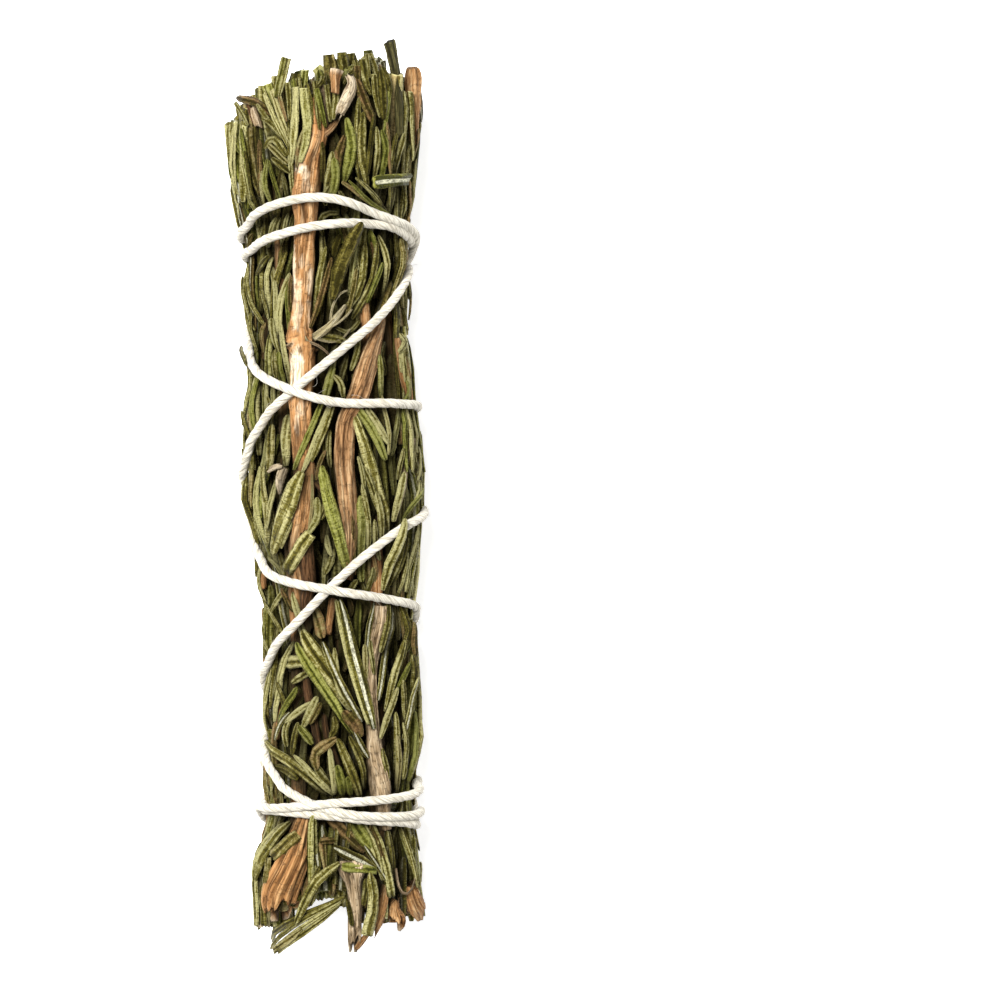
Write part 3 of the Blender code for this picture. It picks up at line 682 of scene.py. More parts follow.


# The leaves that show on top, each laid one by one in this order: look, width, then x, y from its base to its tip.
# Look is a tone (n olive, l light, d dark, y yellow-green, b brown, g grey, p straw, w nearly black, u underside up,
# v the same in dark), then c where the tip is cut and k where the base is.

topLeaves = {
    "slope": 0.2, "thickness": 0.54, "free": -0.5, "give": 0.75,
    "tones": {"n": (0.5, 0.45), "l": (0.87, 0.48), "d": (0.22, 0.4), "y": (0.66, 0.95), "b": (0.42, 0.04),
        "g": (0.55, 0.37), "p": (0.85, 0.08), "w": (0.1, 0.2), "u": (0.7, 0.55), "v": (0.4, 0.85)},
    "laid": [
        ("lc", 0.75, -13.2, 38.2, -14.2, 45.3, -14.5, 52.2), ("lc", 0.75, -12.7, 39, -13.4, 45.8, -13.6, 52.2),
        ("nc", 0.55, -12.3, 40.3, -12.9, 46.4, -13, 52.1), ("lc", 1.02, -11.8, 40.2, -12.3, 45.6, -11.5, 51.1),
        ("y", 0.96, -11.1, 40.2, -11.5, 46.2, -11.8, 50.6), ("d", 0.68, -10.4, 39.4, -10.7, 44.1, -10.9, 47.5),
        ("b", 1.09, -9.3, 40.7, -9.6, 45.4, -9.4, 49), ("n", 0.68, -9.3, 39.9, -9.1, 42, -9.1, 44.7),
        ("g", 0.82, -6.2, 40.6, -6.1, 42.6, -6.3, 44.3), ("y", 0.75, -8.2, 40, -8.5, 42.7, -8.3, 46.3),
        ("y", 0.75, -7, 39.9, -7.5, 43.3, -7.9, 46), ("n", 0.82, -10.9, 37.5, -11.1, 39.8, -11.5, 41.1),
        ("b", 1.23, -7.3, 51.9, -9.9, 53.9, -13, 55), ("lc", 0.68, -11.2, 50.9, -12.2, 52.8, -13, 54.3),
        ("n", 0.82, -6.9, 49.3, -8.3, 51.4, -9.7, 53.7), ("n", 0.96, -6.1, 48.6, -7.7, 50.8, -9.1, 51.7),
        ("n", 0.82, -5.1, 48.3, -5.6, 51.9, -6.2, 54.3), ("lc", 0.82, -5.2, 47.2, -7.2, 51.3, -9.1, 55.3),
        ("lc", 0.89, -5.1, 47.9, -6.7, 52.4, -8, 55.6), ("pc", 0.61, -5.6, 51, -6.3, 53.3, -6.9, 55.3),
        ("lc", 0.89, -6.6, 54.4, -6, 57.1, -5.5, 59.8), ("nc", 0.82, -7.2, 54.3, -6.6, 57, -6, 59.9),
        ("lc", 1.23, -5, 45.2, -4.5, 50.5, -4.7, 55.9), ("nc", 0.82, -5.2, 51.2, -5.3, 54, -5.5, 56.4),
        ("g", 0.75, -5.2, 39.9, -5.1, 44.5, -5.4, 50.2), ("n", 1.23, -5.5, 46.3, -7.6, 48.8, -8.9, 47.5),
        ("l", 0.96, -5.5, 45.3, -7.1, 46.9, -8.3, 48), ("n", 0.96, -5.3, 44.1, -6.5, 45.2, -7.8, 46.2),
        ("nc", 0.96, -2.1, 50.5, -2.5, 53.9, -3, 56.1), ("p", 0.82, -4.3, 44.8, -3.8, 47.8, -3.1, 50.1),
        ("lc", 1.37, -3.7, 45.4, -2.7, 49.8, -3.3, 55.6), ("nc", 0.82, -1.1, 49.8, -1.4, 53.2, -1.8, 56.6),
        ("yc", 0.82, -0.3, 50.1, -1, 53.2, -1.5, 55.5), ("nc", 0.82, 0.3, 50.9, 0.1, 53.7, -0.2, 56.1),
        ("nc", 1.09, 0.7, 51.2, 1.1, 53.9, 1.2, 56.7), ("nc", 0.68, -1.6, 55.5, -0.8, 56.4, -0.6, 57.2),
        ("nc", 0.68, 2.1, 56.1, 2.8, 57.5, 4, 58.7), ("nc", 0.82, 3.2, 56.5, 3.9, 58.1, 3.7, 59.5),
        ("bc", 1.09, 4.6, 54.3, 4, 56.2, 3.9, 58.7), ("nc", 1.09, 5.9, 54.8, 5.1, 56.6, 4.6, 59.7),
        ("b", 1.37, 6.3, 51, 5.1, 53.4, 3.9, 56.8), ("gc", 1.09, 6.6, 56.7, 6.2, 58.8, 5.6, 60.7),
        ("gc", 0.68, 5.6, 57.1, 5.4, 58.9, 5.2, 60.4), ("nc", 0.96, 7, 51.8, 6.4, 54.9, 6.2, 57.7),
        ("d", 1.23, 7.5, 51.5, 7.4, 55, 7, 58.3), ("d", 0.96, 8.4, 55.1, 8, 57.1, 7.2, 58.8),
        ("n", 1.09, 4.5, 43, 4, 48.6, 4, 54.3), ("n", 1.23, 5.6, 42, 4.5, 47.3, 4.7, 52.4),
        ("d", 0.96, 5.3, 43.8, 5.9, 48.7, 6.2, 52.4), ("n", 0.96, 6.4, 43.4, 6.7, 47.4, 6.4, 50.5),
        ("y", 1.5, 2.2, 42.7, 3.2, 47.2, 2.5, 51.5), ("b", 1.09, 1.3, 43.8, 1.4, 46.5, 2.3, 49.1),
        ("d", 0.82, -0.9, 42.9, -0.7, 45.8, -0.8, 48.2), ("l", 1.23, -0.4, 41.6, 0.3, 44.2, 0.6, 46.9),
        ("y", 1.37, 0.2, 40.2, 1, 43.2, 0.8, 46.1), ("yc", 0.68, 7.5, 49.2, 8, 53, 8.4, 56.3),
        ("y", 1.09, 7.3, 43.8, 7.8, 47.5, 7.1, 50.1), ("n", 0.82, 8.3, 44.6, 8.7, 47.6, 9.5, 50),
        ("p", 0.75, 8.5, 43.8, 8.2, 47.5, 7.9, 51.3), ("n", 0.96, 9.2, 44, 9.5, 47, 10, 50),
        ("nc", 1.09, 10.9, 40.5, 10.7, 47.8, 10.6, 56.3), ("nc", 0.96, 11.5, 46.6, 11.4, 52.1, 10.9, 56.1),
        ("d", 0.68, 11.4, 44, 12.4, 47.2, 13.3, 50.9), ("b", 0.82, 12, 46.7, 12.3, 49.2, 12.1, 51.2),
        ("l", 0.68, 11.1, 39.2, 11.7, 43.4, 12.4, 47.3), ("n", 0.82, 10.1, 39, 10.1, 41.7, 9.9, 44.2),
        ("n", 0.82, 8.8, 40.2, 8.4, 42.2, 8, 43.8), ("n", 0.96, -0.4, 39.8, -0.4, 41.2, 0.3, 42.4),
        ("y", 0.82, 1.2, 40.1, 0.8, 41.6, 0.6, 42.6), ("n", 0.82, 2.9, 39.5, 2.2, 40.8, 1.5, 41.8),
        ("n", 0.68, 9.3, 38.8, 7.6, 40.1, 4.2, 43), ("p", 0.82, 1.8, 42.9, 5.3, 40.8, 9.3, 38),
        ("l", 0.68, 3.7, 43.5, 5.8, 41.9, 7.8, 40.1), ("y", 0.68, 2.8, 43.1, 6.1, 40.3, 9.4, 38.8),
        ("vck", 1.77, 6, 42.9, 8.5, 43.4, 11, 43.9), ("n", 0.96, -0.9, 35.9, -1.4, 37.9, -0.1, 38.9, 1.4, 38.8),
        ("l", 0.82, -0, 37.5, 0.9, 37.7, 2.2, 38.2), ("n", 0.82, -8.6, 33.9, -8, 36.3, -7.2, 38.5),
        ("l", 0.82, -9.6, 34.5, -8.7, 36.6, -7.8, 38.5), ("n", 0.82, -6.6, 35.2, -5.8, 37.2, -5.2, 39.1),
        ("l", 0.68, -7.3, 34.7, -6.5, 37.1, -6.1, 39), ("n", 0.68, -11.2, 34.1, -10.6, 36, -10, 37.3),
        ("d", 0.82, -11.9, 33.4, -11.8, 35.5, -11.6, 36.6), ("l", 1.09, -8.5, 23, -9.2, 28.3, -8.3, 33.1),
        ("n", 1.23, -7.9, 23.5, -7.8, 28.7, -6.3, 33.8), ("l", 0.89, -7.3, 22.2, -7.4, 26.4, -7.5, 29.8),
        ("l", 0.96, -6.5, 22.2, -6.5, 26.8, -5.5, 30.8), ("y", 0.82, -5.8, 22.9, -5.9, 27, -5.6, 29.5),
        ("b", 0.68, -5.5, 25.4, -5.5, 28.4, -5.3, 30.4), ("n", 0.96, -10.9, 23.1, -12.2, 27.4, -12.9, 32.8),
        ("n", 0.96, -9.4, 23.6, -11.1, 28, -11.9, 32.6), ("d", 0.96, -11, 30.8, -10.1, 31.9, -8.9, 33.3),
        ("g", 0.96, -11.9, 21.1, -12.6, 26.1, -12.9, 31), ("n", 0.68, -8.5, 24.6, -9.5, 27, -10.3, 28.9),
        ("b", 0.82, -10.1, 20, -10, 22.2, -9.2, 24.1), ("n", 0.96, -11.1, 20.3, -11.3, 23.1, -11.1, 25.6),
        ("n", 0.96, -2.2, 24.5, -1.5, 29.7, -0.5, 34.4), ("d", 1.09, 0.6, 33, 0.9, 34.6, 1.6, 36),
        ("b", 0.96, -2.6, 23.1, -0.9, 28.3, 0.3, 32.8), ("n", 1.09, 4.4, 22.6, 5.1, 26.4, 5.9, 28.5),
        ("n", 1.09, 3, 24.5, 5.7, 29.6, 6.6, 35.3), ("y", 0.82, 5.2, 26.7, 6.6, 30.5, 7.4, 32.4),
        ("n", 0.96, 8.3, 26.9, 7.9, 32, 7.4, 36.2), ("d", 0.82, 8.9, 27.3, 9.1, 31.4, 9.4, 35.5),
        ("b", 0.68, 8.4, 25.6, 8.7, 29.3, 8.6, 34.1), ("n", 1.09, 9.9, 29.8, 10.3, 33.6, 10.6, 36.8),
        ("n", 0.96, 10.7, 23.3, 10.7, 27.5, 10.5, 30.9), ("n", 1.09, 9.2, 27.3, 9.9, 31.5, 10.2, 35.9),
        ("l", 0.96, 10.5, 27.7, 10.9, 31.4, 11.1, 35.3), ("b", 0.68, 10.9, 24.8, 10.8, 28.1, 10.7, 31.3),
        ("n", 1.23, 1.1, 24.2, 4.1, 28.7, 5, 35.2), ("b", 0.82, 2.2, 24.5, 3, 27.6, 3.7, 31.4),
        ("n", 1.23, -1, 17.1, 0.7, 19.8, 3, 23.1), ("d", 1.09, 0.1, 18.4, 2, 20.6, 3.9, 22.6),
        ("n", 0.96, 3.1, 17.3, 3.9, 19.8, 4.1, 22.2), ("n", 0.96, 1.5, 15.3, 2.1, 17.6, 2.8, 19.8),
        ("l", 0.82, -1, 13.9, 0.1, 16.6, 0.9, 19), ("y", 1.23, -0.7, 13.2, -0, 15.7, 0.6, 18),
        ("g", 0.96, 2.1, 13.5, 1.5, 15.7, 0.6, 16.6), ("n", 1.23, -1.6, 21.9, 0.5, 21.7, 2.4, 21.3),
        ("l", 0.68, 0.7, 23.3, 2.5, 22.6, 4.4, 24.3), ("l", 0.96, -7.2, 19.9, -7.8, 22.1, -8.1, 24.6),
        ("l", 0.89, -6, 14.9, -6.3, 19.9, -6.6, 24), ("y", 1.23, -6.9, 14.4, -7.3, 17.4, -6.9, 19.9),
        ("g", 0.96, -8, 16.3, -7.9, 18.5, -7.5, 20.2), ("l", 0.82, -13.1, 14.7, -13.2, 18.3, -12.9, 22.2),
        ("n", 0.82, -12.5, 5.4, -12.4, 9.3, -12.7, 13.5), ("n", 0.82, -12.4, -1.2, -12.3, 2.6, -12.4, 6.7),
        ("n", 0.96, -12.4, 10, -11.9, 15.1, -11.9, 19.3), ("d", 0.82, -11, 17.2, -12.1, 19.3, -13.1, 21.1),
        ("y", 1.09, -10.6, 8.9, -10.7, 13.1, -10.4, 17.1), ("l", 0.82, -9.7, 9.4, -9.2, 13, -9.2, 16.1),
        ("l", 0.82, -8.3, 10.8, -8, 13.5, -8.3, 15.8), ("n", 0.82, -8.8, 9.1, -8.6, 11.9, -8.9, 13.8),
        ("l", 0.89, -10.3, 3.4, -9.9, 6.7, -9.4, 9.2), ("n", 0.96, -11.8, 3.7, -11.9, 7.8, -12.3, 12),
        ("g", 0.82, -11.2, 3, -11.1, 5.7, -10.9, 8.1), ("g", 1.5, -8.5, 3.2, -8.2, 6.9, -8, 10),
        ("l", 1.64, -6.1, 4.2, -6.2, 7.7, -6.3, 11.3), ("d", 0.82, -0.4, 5.2, -0.8, 8.3, -1.1, 11),
        ("n", 0.82, 0.2, 3.9, -0.1, 6.6, 0.1, 9.1), ("b", 0.68, -1.7, 2.2, -1.2, 4.7, -0.4, 6.3),
        ("y", 0.96, -4.8, 3.6, -2.7, 8.8, -0.7, 13.9), ("p", 0.89, -3.5, 3.1, -1.8, 7.7, 0.2, 12.9),
        ("n", 0.82, -2.3, 4.7, -1, 8, 0.8, 13.2), ("y", 0.96, 7.7, 13, 7.1, 16.6, 6.6, 19.6),
        ("n", 1.09, 8.6, 16.8, 7.8, 20, 8.6, 21.5), ("l", 0.82, 9.3, 17.2, 9, 20, 9.4, 21.7),
        ("l", 1.09, 9.4, 20, 10.2, 21.4, 9.6, 22.6), ("n", 0.82, 10.6, 15.9, 10, 19, 9.8, 21.5),
        ("b", 0.82, 10.2, 13.6, 9.5, 16.4, 9.1, 19.2), ("l", 0.82, 11.3, 13.1, 11.1, 15.1, 10.6, 16.8),
        ("y", 0.82, 9.8, 13.1, 10.1, 14.5, 9.5, 16.1), ("n", 1.64, 8.4, -4.9, 6.3, 2.2, 3.2, 11.6),
        ("y", 1.37, 8, 5, 6.1, 8.8, 3.8, 12.5), ("l", 1.23, 8.1, 7.2, 6.9, 9.4, 5.3, 12.3),
        ("p", 0.68, 8, 5.7, 8.1, 9.4, 7.8, 14), ("l", 0.96, 8.7, 5.6, 9.4, 9.2, 9.8, 12.7),
        ("y", 1.09, 10.3, 3.4, 10.4, 7.8, 10.2, 12.2), ("l", 0.96, 11.2, 3.4, 11.3, 7.8, 11.1, 12.7),
        ("l", 0.75, 12, 6.2, 12.2, 9.3, 11.9, 12.8), ("n", 0.82, 9.2, 2.3, 9.3, 4.7, 9.6, 6.7),
        ("l", 0.82, 12.1, 2.3, 12.4, 4.8, 12.5, 7), ("n", 0.96, 6.7, -2.1, 5.9, 0.9, 4.5, 4.2),
        ("l", 1.09, 7.7, -6, 7.2, -3.2, 6.4, 0.6), ("l", 0.68, 4.9, 1.2, 4.5, 3.6, 4, 5.5),
        ("g", 0.82, -11.5, -6.1, -11.7, -0.5, -11.7, 4.2), ("n", 0.82, -10.3, -6.7, -10.8, -1.2, -10.9, 4.2),
        ("l", 1.09, -9.4, -7.1, -10.2, -1.2, -10.1, 4.2), ("g", 1.09, -9, -6.7, -9.1, -0.5, -8.8, 4.2),
        ("l", 0.89, -8.3, -4.6, -7.9, -0.5, -7.2, 3.1), ("g", 2.59, -3.5, 3.3, -5.8, -1.9, -8.7, -8),
        ("n", 0.89, -6.8, -7.1, -6, -5.3, -5.1, -3.5), ("gck", 2.05, -6.4, -10.4, -4.5, -7.8, -2.4, -5),
        ("n", 1.23, -2.8, -5.1, -1.5, -2.7, -1.6, -0.1), ("p", 0.48, -2.8, -4.9, -2.2, -0.5, -2.2, 3.1),
        ("l", 0.68, -7.6, -10.9, -8.4, -9.5, -9.6, -8.3), ("n", 1.09, -0.8, -10.7, 0.1, -9, 0.6, -7.3),
        ("l", 0.82, 0.3, -8.2, -0.2, -6.7, -0.4, -5.3), ("d", 0.82, -1, -3.2, -0.4, -1.2, -0.7, 0.3),
        ("y", 1.91, 2.9, -10.9, 1.1, -4.3, -0.9, 4.2), ("y", 1.64, 4.5, -11.8, 4.5, -6, 4.2, 0.1),
        ("n", 0.89, 5.8, -9, 5.4, -3.2, 4.4, 1.7), ("b", 0.68, 3.6, -10.8, 3.4, -6.7, 3.1, -2.5),
        ("p", 0.61, 6.3, -12.9, 6.4, -10.1, 5.8, -7.4), ("l", 0.96, 7.3, -8.8, 6.6, -6, 6.1, -3.2),
        ("l", 1.23, 9.1, -3.5, 9.6, -0.2, 10.1, 3.4), ("l", 0.82, 11.2, -3.3, 11.7, -0.5, 12.3, 2.3),
        ("y", 0.75, 10.7, -3.3, 11.6, -0.9, 12.8, 1.2), ("d", 1.37, 8.6, -12.5, 9.5, -9.1, 10.7, -5.3),
        ("n", 0.96, 9.8, -14.4, 10.3, -11.3, 11.2, -7.7), ("l", 1.09, 10.6, -13.3, 11.4, -9.1, 12.4, -4.1),
        ("l", 0.68, 11.6, -13.9, 12, -11, 12.5, -8.3), ("n", 0.82, 5.2, -13.7, 5.8, -11.5, 6, -9.8),
        ("n", 0.96, 2.1, -14.2, 2.8, -12.9, 3.6, -11.5), ("l", 0.82, -8.9, -14.9, -9.6, -11.9, -9.9, -9.1),
        ("y", 0.82, -9.8, -20, -9.7, -17.2, -10.4, -13.3), ("g", 0.82, -6.8, -20.1, -7.8, -17.1, -8.9, -14.4),
        ("n", 0.82, -7.8, -16, -7.1, -14, -6.4, -12.4), ("b", 0.82, -5.5, -16, -6.3, -14, -7, -12.7),
        ("l", 0.61, -8.7, -22.3, -9.2, -20.3, -9.4, -18), ("n", 0.96, -10.7, -22.7, -10.8, -19.1, -10.4, -15.6),
        ("l", 1.09, -3.1, -21.4, -4.6, -17, -5.9, -13.2), ("p", 1.77, -1, -19.5, -1.8, -17, -2.5, -15.1),
        ("n", 1.09, 2.2, -19.7, 1.6, -17, 1.1, -14.7), ("y", 1.23, 3.7, -21.1, 3.7, -17.7, 4.1, -14.3),
        ("d", 0.82, 2.7, -16.7, 3, -15.4, 2.5, -14), ("u", 0.82, 4.7, -21.8, 5.2, -18.1, 6.1, -14.6),
        ("p", 0.89, 4.9, -25.5, 4.9, -22.8, 4.8, -20.3), ("n", 0.82, 6, -24.5, 5.7, -21.8, 5.6, -19.8),
        ("n", 1.09, 6.8, -21.5, 7.8, -17.9, 8.7, -14.6), ("d", 1.23, 9.9, -21, 10.6, -17.9, 10.1, -14.9),
        ("y", 0.82, 10.7, -21.6, 11.5, -18.9, 11.3, -16.1), ("b", 1.37, 11.8, -22.3, 11.4, -20, 11.7, -17.5),
        ("g", 1.37, 11.3, -27.2, 11.1, -24.4, 10.6, -22), ("n", 1.23, 8.2, -28.1, 9.5, -23.3, 10.1, -19.9),
        ("y", 0.96, 9.4, -26.8, 10.3, -24.6, 10.9, -23), ("n", 1.09, 10.6, -31, 10.1, -28.2, 9.8, -25.4),
        ("n", 1.23, 7.4, -29.7, 8.2, -25.4, 9.4, -19.9), ("g", 0.68, -6.9, -23.7, -6.9, -21.9, -6.3, -20.1),
        ("lck", 1.77, -6.5, -23, -4.8, -22.8, -3.2, -22.7), ("n", 1.09, -5.5, -25.8, -4, -24.9, -2.5, -24),
        ("l", 0.96, -8.1, -28.2, -8, -25.5, -7.4, -22.1), ("l", 1.09, -8.1, -31.3, -7.2, -25.4, -5.5, -20),
        ("n", 0.96, -6.5, -29.8, -6.8, -27.9, -7.4, -25.7), ("l", 1.09, -9.9, -34.3, -9.2, -29, -8.9, -24.4),
        ("y", 1.09, -7.5, -31.5, -6, -28.7, -4.5, -26.3), ("u", 0.75, -8.1, -33.8, -6.8, -31.2, -5.6, -29.8),
        ("g", 1.09, -6.3, -34.6, -6.3, -32.3, -5.3, -30.3), ("l", 0.96, -6.2, -31.2, -4.3, -29.6, -2.5, -28.3),
        ("n", 1.23, -3.9, -31.9, -2.8, -29.7, -1.7, -27.5), ("n", 0.96, -2.8, -31.3, -1.9, -29.7, -1.2, -28.3),
        ("n", 0.96, -5.6, -35.8, -5, -33.3, -4.3, -31.1), ("n", 1.23, -2.4, -34.1, -3.5, -32.6, -4.3, -31.6),
        ("g", 2.32, 3, -29.4, -0.5, -23.9, -3.9, -18.4), ("y", 1.64, 3.3, -32.7, -1.4, -25.5, -4.8, -20.1),
        ("n", 1.09, 4.1, -29.7, 1.4, -26.6, 0.6, -20.8), ("u", 1.16, 4.5, -31, 1.8, -26.3, -1, -20),
        ("l", 1.23, 5.1, -31.3, 2.9, -22.8, 0.8, -14.2), ("u", 1.64, 5.9, -31.9, 3.8, -23.6, 1.4, -14.2),
        ("u", 1.09, 6.4, -28.1, 7.6, -22.6, 9.4, -15.2), ("l", 1.09, 6.8, -33.3, 8.3, -29.5, 9.3, -26.4),
        ("n", 1.09, 10.1, -41, 9.3, -35.1, 8.6, -29.8), ("p", 1.09, 9.3, -41.2, 8.9, -37.2, 8.3, -33),
        ("u", 0.96, 10.2, -33.8, 11.1, -28.6, 12.2, -23.4), ("y", 1.09, 11, -39.7, 11.5, -35.6, 11.8, -30),
        ("n", 1.23, 12.2, -40.5, 12.2, -34.3, 12.6, -28.1), ("n", 0.96, 10.5, -39.4, 10.5, -35.2, 9.9, -31.3),
        ("b", 1.77, 4.4, -33, 3.3, -31, 1.8, -29.5), ("d", 0.96, 0, -33.2, 0.8, -31.8, 0.6, -30.2),
        ("n", 1.64, -9.2, -34.3, -4.6, -37.7, -0.4, -41.2), ("n", 1.23, -4.8, -39.1, -6.8, -38.1, -8.6, -37.6),
        ("g", 1.37, 0.3, -40.5, -1.1, -38.7, -2.2, -36.8), ("l", 0.96, 0.4, -41.2, -2.6, -38.2, -5, -35.7),
        ("b", 1.5, 1, -33.2, -2.1, -35.4, -1.8, -37.6), ("l", 0.96, 0.6, -41.1, 0.4, -37.9, 0, -34.6),
        ("y", 1.37, 1.8, -41.2, 1.5, -39, 1.1, -36.9), ("y", 1.09, 3, -41.2, 2.7, -39.8, 2.5, -38.5),
        ("n", 0.96, 4.9, -40.7, 4.4, -37.1, 2.6, -32.9), ("n", 1.37, 4.5, -41.5, 2.7, -37.1, 1.1, -33.2),
        ("n", 1.09, 7.9, -40.6, 7.6, -37.8, 7.1, -34.7), ("u", 0.96, 5.3, -36, 4.3, -34.3, 3.4, -32.3),
        ("l", 0.55, -10.4, -42.5, -9.9, -40.3, -9.5, -38.4), ("n", 0.55, -9, -42.2, -8.6, -40.5, -8.6, -39.1),
        ("l", 0.55, -8.3, -42.1, -7.4, -40.7, -6.9, -39.5), ("l", 0.55, -7.1, -42, -6.3, -41, -5.6, -40.4),
        ("yck", 1.09, 7.2, -42.7, 8.4, -42.7, 9.8, -42.9), ("l", 0.68, -9.7, -48.1, -9.5, -45, -9.2, -43.1),
        ("l", 0.55, -8.8, -46.6, -8.2, -44.3, -7.5, -42.9), ("n", 0.61, -7.6, -45.6, -7.1, -43.9, -6.8, -42.8),
        ("l", 1.64, -10.2, -52.2, -9.4, -48.8, -6.8, -45.3), ("g", 1.5, -9.9, -53.2, -8.5, -49, -5.9, -45),
        ("gck", 1.91, -7.9, -49.8, -6.3, -48.2, -4.3, -46.4), ("gc", 1.23, -8.7, -53.3, -8.7, -51.7, -8.7, -49.9),
        ("lk", 1.23, -10.6, -59.8, -10.6, -55.4, -10.4, -50.8), ("nk", 1.09, -9.3, -59.5, -9.5, -56.6, -9.8, -53.9),
        ("u", 1.16, -1.3, -51.5, -2.1, -47.2, -2.6, -42.6), ("p", 1.09, -0.5, -51.2, -1.1, -47.2, -1.7, -42.6),
        ("b", 1.09, -1.4, -47.5, -0.3, -47.4, 0.7, -47.5), ("n", 0.96, -2.4, -54, -1.9, -52.3, -1.3, -50.7),
        ("b", 1.91, 4.8, -48.9, 1.7, -45.9, -1.4, -43.4), ("y", 1.91, 5.6, -48.4, 3.8, -45.6, 2.3, -43.1),
        ("l", 1.09, 7.4, -52.8, 5.6, -47, 3.8, -43.4), ("u", 0.82, 7.8, -52.8, 6.3, -50.3, 4.8, -48),
        ("lk", 1.23, 8.5, -55.2, 7.2, -48.7, 5.7, -44), ("b", 0.82, 7.4, -50.1, 6.7, -47.4, 6, -44.9),
        ("n", 0.96, 9.3, -54.1, 8.5, -49.1, 7.9, -44.7), ("y", 1.09, 10.6, -54.2, 9.9, -49.2, 9.3, -44.8),
        ("n", 0.96, 11.7, -54.4, 11.2, -50.2, 10.6, -45.5), ("l", 0.75, 12.6, -55.3, 12.1, -50.7, 11.8, -46),
        ("l", 0.61, 12.6, -59, 12.8, -54.6, 12.5, -49.8), ("u", 1.5, 6.3, -51.1, 3.3, -49.5, 0.6, -48.2),
        ("yck", 1.23, 1.7, -50.7, 3.9, -50.9, 6.6, -51.3), ("n", 1.23, -2.8, -56.2, -2, -53.7, -0.8, -51.2),
        ("nk", 1.77, 5.2, -60.4, 6.1, -55.8, 5.5, -51.6), ("n", 0.96, 4.7, -56.1, 5, -54, 5, -52.4),
        ("n", 0.82, -1, -52.6, -0.2, -51.8, 1.2, -50.7), ("nc", 1.09, -3.3, -58.7, -2, -58.1, -0.6, -57.7),
        ("d", 1.09, 2, -54.9, -3.4, -58, -9.3, -62.9), ("g", 0.82, 2.1, -54.9, -2.7, -57.6, -9.7, -63.1),
        ("lc", 0.75, 1.6, -55.6, -2.6, -58.4, -8.7, -63.2), ("nc", 0.75, 1.3, -56.2, -2.3, -59.1, -7.8, -63.1),
        ("lc", 1.09, -3.8, -59.4, -5.8, -61.1, -8.1, -62.8),
        ("g", 1.5, 1.4, -50.2, -1.7, -52.6, -3.8, -56.5, -4.7, -58.8), ("n", 0.82, 2.4, -55.3, 2.8, -57, 3.1, -59),
    ],
    "overString": [
        ("w", 1.91, 0.4, 27, 1.8, 32.2, 4.3, 37.5), ("n", 1.37, 7.1, -12.9, 8.8, -8.2, 10.1, -3),
        ("d", 0.82, -11, 18.1, -11.9, 19.5, -13.1, 21.1),
    ],
}


def settled(line, s):  # what lies high is pressed down towards the skin
    free, give = topLeaves["free"], topLeaves["give"] * (1 - 0.5 * flank(s))
    return np.where(line > free, free + give * (1 - np.exp(-(line - free) / give)), line)


def layTopLeaf(row, over=False):
    look, width, flat = row[0], row[1], row[2:]
    points = [(flat[i], flat[i + 1]) for i in range(0, len(flat), 2)]
    s, y = lineThrough(points, 1.2)
    thickness = width * topLeaves["thickness"] if width < 1.9 else 0.12 * width + 0.8
    line, _, _ = restLine(s, y, width * 0.8, topLeaves["slope"])
    s, y = lineThrough(points, 1.2, np.full(len(points), float(settled(line, s).mean()) + thickness / 2))
    line, _, _ = restLine(s, y, width * 0.8, topLeaves["slope"])
    if not over:
        hard, _, _ = restLine(s, y, width * 0.5, topLeaves["slope"] * 1.5, hardTops)
        line = np.maximum(settled(line, s), hard - 0.1)
    bright, hue = topLeaves["tones"][look[0]]
    form = ("whole", "tipCut", "baseCut", "bothCut")[("c" in look) + 2 * ("k" in look)]
    turned = look[0] in "uv"
    addLeaf(s, y, line, width * 1.02, thickness, draw.gauss(0, 9), form, turned,
            (bright + draw.gauss(0, 0.12), min(1, max(0, hue + draw.gauss(0, 0.13))), draw.random(),
             0.9 if turned else draw.random()), not over)
    coverMap(s, y, line, width, thickness, shield=True)


layTwigs("deep")
layFiller(-0.95, 1500, 60, -0.6)
layTwigs("under")
for row in topLeaves["laid"]:
    layTopLeaf(row)
layTwigs("over")
layFiller(-0.05, 1000, 70)

leafTops = heights.copy()
radius = string["diameter"] / 2
spots = cells(stringPoints[:, 0], stringPoints[:, 1])


def localTop(tops, reach=2):
    return np.max([tops[(spots[0] + i) % mapCells[0], np.clip(spots[1] + j, 0, mapCells[1] - 1)]
                   for i in range(-reach, reach + 1) for j in (-1, 0, 1)], axis=0)


bite = squeezeAt(stringPoints[:, 1])
onTop = np.maximum(localTop(heights) - bite + radius * 0.75, localTop(hardTops) + radius * 0.9)
seats = np.maximum(string["seat"] - (bite - 0.95), onTop)
aside = flank(stringPoints[:, 0])
seats = seats * (1 - aside) + np.minimum(seats, string["sideSeat"]) * aside
stringOut = stringHeights(stringPoints, seats)
stringLine = withHitch(stringPoints, stringOut)
coverMap(stringPoints[:, 0], stringPoints[:, 1], stringOut, 1.6, radius)
for row in topLeaves["overString"]:
    layTopLeaf(row, over=True)
print("leaves laid", len(leaves), "twigs", len(twigs))


# Building the pieces

def framesAlong(s, y, out, press=True):
    if press:
        out = np.array([pressedOut(a, b, c) for a, b, c in zip(s, y, out)])
    centres, normals = onSkin(s, y, out)
    tangents = np.gradient(centres, axis=0)
    tangents /= np.linalg.norm(tangents, axis=1, keepdims=True) + 1e-9
    normals = unit(normals - tangents * (normals * tangents).sum(1, keepdims=True))
    return centres, np.cross(normals, tangents), normals


